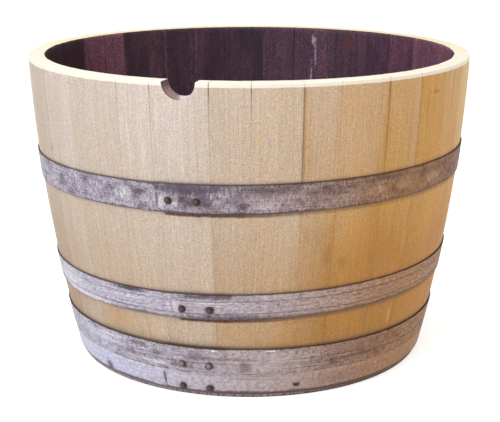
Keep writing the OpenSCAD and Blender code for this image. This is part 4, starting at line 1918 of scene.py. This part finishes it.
# Among the marks, the narrow dark ones at the visible ends of the bilge, quarter and chime laps are
# painted shade of the step there, and the broad brownish ones to the right are partly painted warm
# shade.
HOOPS = (
    Hoop(
        HoopZinc(
            "bilge_zinc", 0.6, 0.25 * MM, BILGE, tint(210, 204, 218), tint(106, 94, 110),
            tint(78, 64, 76), age=0.50, grain=(330.0, 200.0, 130.0), edge_top=2.6 * MM,
            edge_low=2.2 * MM, tarnish_and_warm_shade=0.8, contrast=1.5, dull_and_warm_shade=tint(216, 203, 192),
            marks=marks(
                (-15, 14, 84, 13, (80, 68, 88), 0.85, 0.4), (-15.2, -1, 15, 22, GRIME_AND_SHADE, 0.65),
                (-10.5, -2, 22, 22, (80, 70, 86), 0.65), (-3.5, -2, 24, 14, (104, 90, 100), 0.4),
                (3, 12, 64, 12, GRIME_AND_SHADE, 0.42, 0.5), (19, 8, 52, 12, GRIME_AND_SHADE, 0.36, 0.5),
                (22, -9, 26, 9, (160, 146, 130), 0.3), (29, -2, 34, 13, (170, 150, 126), 0.25, 0.9),
                (44, 0, 120, 34, (142, 104, 72), 0.42), (41, 1, 30, 13, (180, 150, 112), 0.3, 1.0),
                (53, -3, 26, 9, (196, 168, 124), 0.35, 1), (33, 0, 7, 12, (188, 160, 146), 0.35, 1),
                (35, 14, 60, 6, GRIME_AND_SHADE, 0.5), (48, 9, 20, 9, GRIME_AND_SHADE, 0.4, 0.8),
                (-38, -3, 20, 15, GRIME_AND_SHADE, 0.22, 0.8), (-20.6, -3.5, 10, 12, RUB_AND_HIGHLIGHT, 0.42, 1.0),
                (-17.6, -7, 5, 6, RUB_AND_HIGHLIGHT, 0.45), (-8.9, 4, 1.5, 6, RUB_AND_HIGHLIGHT, 0.5),
                (-31, 2, 12, 15, RUB_AND_HIGHLIGHT, 0.25), (4, -12, 34, 6, RUB_AND_HIGHLIGHT, 0.25),
                (-22.2, -2, 2.4, 15, (84, 76, 98), 0.75, 0.5),
                (6, 0, 70, 16, (190, 168, 168), 0.2, 0.8),
            ),
        ),
    ),
    Hoop(
        HoopZinc(
            "quarter_zinc", 0.6, 0.22 * MM, QUARTER, tint(206, 203, 218), tint(138, 131, 147),
            tint(88, 72, 78), age=0.30, grain=(120.0, 150.0, 300.0), edge_top=1.6 * MM,
            edge_low=6 * MM, tarnish_and_warm_shade=0.6, contrast=1.2,
            marks=marks(
                (-34, 16.5, 44, 6, (66, 48, 58), 0.9, 0.8), (-11.5, 16.5, 60, 7, GRIME_AND_SHADE, 0.8, 0.8),
                (-6, -15, 90, 5, GRIME_AND_SHADE, 0.55, 1.0), (-40, -12, 50, 2, GRIME_AND_SHADE, 0.4),
                (-10.6, -14, 4, 6, GRIME_AND_SHADE, 0.8), (-15.5, 0, 24, 12, (150, 136, 146), 0.5),
                (-9, 6, 48, 1.2, RUB_AND_HIGHLIGHT, 0.5), (-19.6, -1, 10, 14, RUB_AND_HIGHLIGHT, 0.4),
                (-12, 2, 40, 1.0, RUB_AND_HIGHLIGHT, 0.4), (-34, 3, 40, 1.2, RUB_AND_HIGHLIGHT, 0.45),
                (-34, -5, 44, 1.0, GRIME_AND_SHADE, 0.4), (7.5, 2, 2, 6, GRIME_AND_SHADE, 0.7, 1.0),
                (19, -9, 5, 2.5, GRIME_AND_SHADE, 0.7), (35, 8, 150, 1.0, GRIME_AND_SHADE, 0.5, 0.3),
                (38, -2, 60, 14, (120, 88, 70), 0.25), (-20.9, 0, 1.2, 18, GRIME_AND_SHADE, 0.35, 0.4),
                (-52, -16.5, 90, 6, RUB_AND_HIGHLIGHT, 0.6), (-62, 0, 70, 22, RUB_AND_HIGHLIGHT, 0.3),
            ),
        ),
        dents=((18.0, -3 * MM, 6 * MM, 0.8 * MM), (6.2, 4 * MM, 5 * MM, 0.7 * MM)),
    ),
    Hoop(
        HoopZinc(
            "collar_zinc", 0.6, 0.28 * MM, COLLAR, tint(204, 201, 216), tint(124, 115, 130),
            tint(84, 70, 76), age=0.44, grain=(120.0, 150.0, 260.0), edge_top=1.4 * MM,
            edge_low=0.2 * MM, tarnish_and_warm_shade=0.9, contrast=1.35,
            marks=marks(
                (0, 0, 150, 30, (206, 194, 200), 0.25, 0.8),
                (7, -2, 60, 26, (200, 186, 186), 0.2, 0.8),
                (-10, 18, 9, 2.5, RUB_AND_HIGHLIGHT, 0.8), (6, 18, 12, 2.5, RUB_AND_HIGHLIGHT, 0.8),
                (-15.5, 6, 24, 11, (104, 90, 108), 0.6), (-1.5, -9, 17, 12, GRIME_AND_SHADE, 0.5),
                (-34, 12, 30, 6, GRIME_AND_SHADE, 0.6), (-8, 4, 70, 4, (84, 78, 66), 0.5, 1.0),
                (-52, 0, 70, 18, (214, 216, 236), 0.35), (-46, 12, 50, 3, RUB_AND_HIGHLIGHT, 0.4),
                (-30, -12, 60, 4, RUB_AND_HIGHLIGHT, 0.35), (-21.5, 2, 3, 6, RUB_AND_HIGHLIGHT, 0.5),
                (25, 2, 120, 1.6, GRIME_AND_SHADE, 0.6, 0.5), (30, -7, 130, 1.8, GRIME_AND_SHADE, 0.55, 0.5),
                (20, -13, 90, 1.2, GRIME_AND_SHADE, 0.45, 0.5), (32, 0, 80, 20, (104, 78, 62), 0.25),
            ),
        ),
        RivetRust(
            "rivet_grey", 0.6, 0.3 * MM, (tint(86, 68, 68), tint(134, 112, 108)),
            tint(196, 182, 180),
        ),
        wave=0.12 * MM,
    ),
    Hoop(
        HoopZinc(
            "chime_zinc", 0.6, 0.2 * MM, CHIME, tint(216, 216, 234), tint(164, 160, 182),
            tint(104, 90, 94), age=0.16, grain=(150.0, 150.0, 200.0), edge_top=0.2 * MM,
            edge_low=3.6 * MM, tarnish_and_warm_shade=0.95, contrast=1.05,
            marks=marks(
                (13.7, -4.6, 7, 6, (44, 26, 32), 1.0, 1.0),
                (-48.8, -11, 12, 12, (108, 82, 110), 0.95, 0.8), (-49.5, -2, 1.8, 12, GRIME_AND_SHADE, 0.6),
                (-5, 13, 120, 2, GRIME_AND_SHADE, 0.30), (-25.7, 0, 4.0, 19, (104, 92, 106), 0.95, 0.15),
                (-10, -14, 160, 2, GRIME_AND_SHADE, 0.5, 1.0), (32, -2, 60, 16, (110, 84, 70), 0.3),
                (-2, 8, 40, 4, (140, 128, 122), 0.5, 0.8), (24, 0, 50, 18, (112, 88, 78), 0.22),
            ),
        ),
        wave=0.12 * MM,
    ),
)  # fmt: skip


# ---- stage


class LampRole(Enum):
    """What each lamp of the studio does."""

    KEY = "key"
    FILL = "fill"
    TOP = "top"


@dataclass(frozen=True)
class Lamp:
    """A soft rectangular lamp that faces the barrel."""

    role: LampRole
    place: Triple
    size: tuple[float, float]
    power: float
    colour: Triple

    def build(self, target: Vector) -> None:
        """Hangs the lamp and turns it.

        Args:
            target: What it faces.
        """
        data = bpy.data.lights.new(self.role.value + "_lamp", "AREA")
        data.shape, data.size, data.size_y = "RECTANGLE", *self.size
        data.energy, data.color = self.power, self.colour
        lamp = bpy.data.objects.new(data.name, data)
        lamp.location = self.place
        lamp.rotation_euler = (target - lamp.location).to_track_quat("-Z", "Y").to_euler()
        bpy.context.scene.collection.objects.link(lamp)


@dataclass
class Studio:
    """White floor, soft lamps, pale surroundings and the camera.

    Attributes:
        place: Where the camera stands.
        lens: Focal length on a 36 mm wide frame.
        pitch: How far the camera looks down, in degrees.
        roll: Its roll in degrees.
        yaw: Its turn to the right in degrees.
        sky: Strength of the surroundings as light.
        glow: Strength of the floor's own light, as the camera sees it.
        floor_r: Radius of the floor.
        lamps: The lamps.
    """

    place: Triple = (0.0, -1.9255, 0.7232)
    lens: float = 87.46
    pitch: float = 14.978
    roll: float = -0.06
    yaw: float = 0.028
    sky: float = 0.44
    glow: float = 0.68
    floor_r: float = 14.0
    lamps: tuple[Lamp, ...] = (
        Lamp(LampRole.KEY, (-2.1, -2.2, 2.2), (1.6, 1.6), 50, (0.95, 0.97, 1.0)),
        Lamp(LampRole.FILL, (2.6, -1.5, 1.3), (1.6, 1.4), 17, (1.0, 0.76, 0.50)),
        Lamp(LampRole.TOP, (-0.2, -0.4, 2.8), (1.8, 1.8), 34, (1.0, 0.98, 0.95)),
    )

    def camera(self) -> None:
        """Stands the camera where the photograph was taken from."""
        data = bpy.data.cameras.new("camera")
        data.sensor_width, data.lens, data.clip_start, data.clip_end = 36.0, self.lens, 0.05, 60.0
        camera = bpy.data.objects.new("camera", data)
        turns = ((-self.yaw, "Z"), (90 - self.pitch, "X"), (self.roll, "Z"))
        matrix = Matrix.Translation(self.place)
        for turn, axis in turns:
            matrix = matrix @ turn_of(turn, axis)
        camera.matrix_world = matrix
        bpy.context.scene.collection.objects.link(camera)
        bpy.context.scene.camera = camera

    def floor(self) -> None:
        """Lays the white floor, which shows the barrel's shadow and is clear from below."""
        shape = bmesh.new()
        bmesh.ops.create_circle(shape, cap_ends=True, segments=96, radius=self.floor_r)
        bmesh.ops.translate(shape, verts=shape.verts, vec=(0, 0, -0.3 * MM))
        floor, made = settle("floor", shape), bpy.data.materials.new("floor_white")
        made.use_nodes = True
        w, nodes = Wiring(made.node_tree), made.node_tree.nodes
        path, shader = w.add("LightPath").outputs, nodes["Principled BSDF"]
        seen = w.math("MAXIMUM", *(Value(w, path[f"Is {ray} Ray"]) for ray in ("Camera", "Glossy")))
        for name, value in (
            ("Base Color", (0.80, 0.80, 0.80, 1.0)), ("Roughness", 0.9),
            ("Emission Color", WHITE), ("Emission Strength", seen * self.glow),
        ):  # fmt: skip
            w.feed(shader.inputs[name], value)
        back = w.out("NewGeometry", output="Backfacing")
        clear = w.out("BsdfTransparent")
        both = w.out("MixShader", {0: back, 1: Value(w, shader.outputs[0]), 2: clear})
        w.feed(nodes["Material Output"].inputs["Surface"], both)
        floor.data.materials.append(made)

    def surroundings(self) -> None:
        """Sets the even light from all round, seen as plain white."""
        world = bpy.data.worlds.new("surroundings")
        bpy.context.scene.world = world
        world.use_nodes = True
        w, shade = Wiring(world.node_tree), world.node_tree.nodes["Background"].inputs
        path = w.out("LightPath", output="Is Camera Ray")
        w.feed(shade["Color"], WHITE)
        w.feed(shade["Strength"], w.blend(path, self.sky, 1.0))

    def build(self) -> None:
        """Sets up the whole studio."""
        self.camera()
        self.floor()
        self.surroundings()
        for lamp in self.lamps:
            lamp.build(Vector((0, 0, BARREL.height / 2)))
        bpy.context.scene.view_settings.view_transform = "Standard"


def main() -> None:
    """Builds the planter and its studio."""
    logging.basicConfig(level=logging.INFO, format="%(name)s: %(message)s")
    for part in (Studio(), StaveRing(), Head(), *HOOPS):
        part.build()


if __name__ == "__main__":
    main()
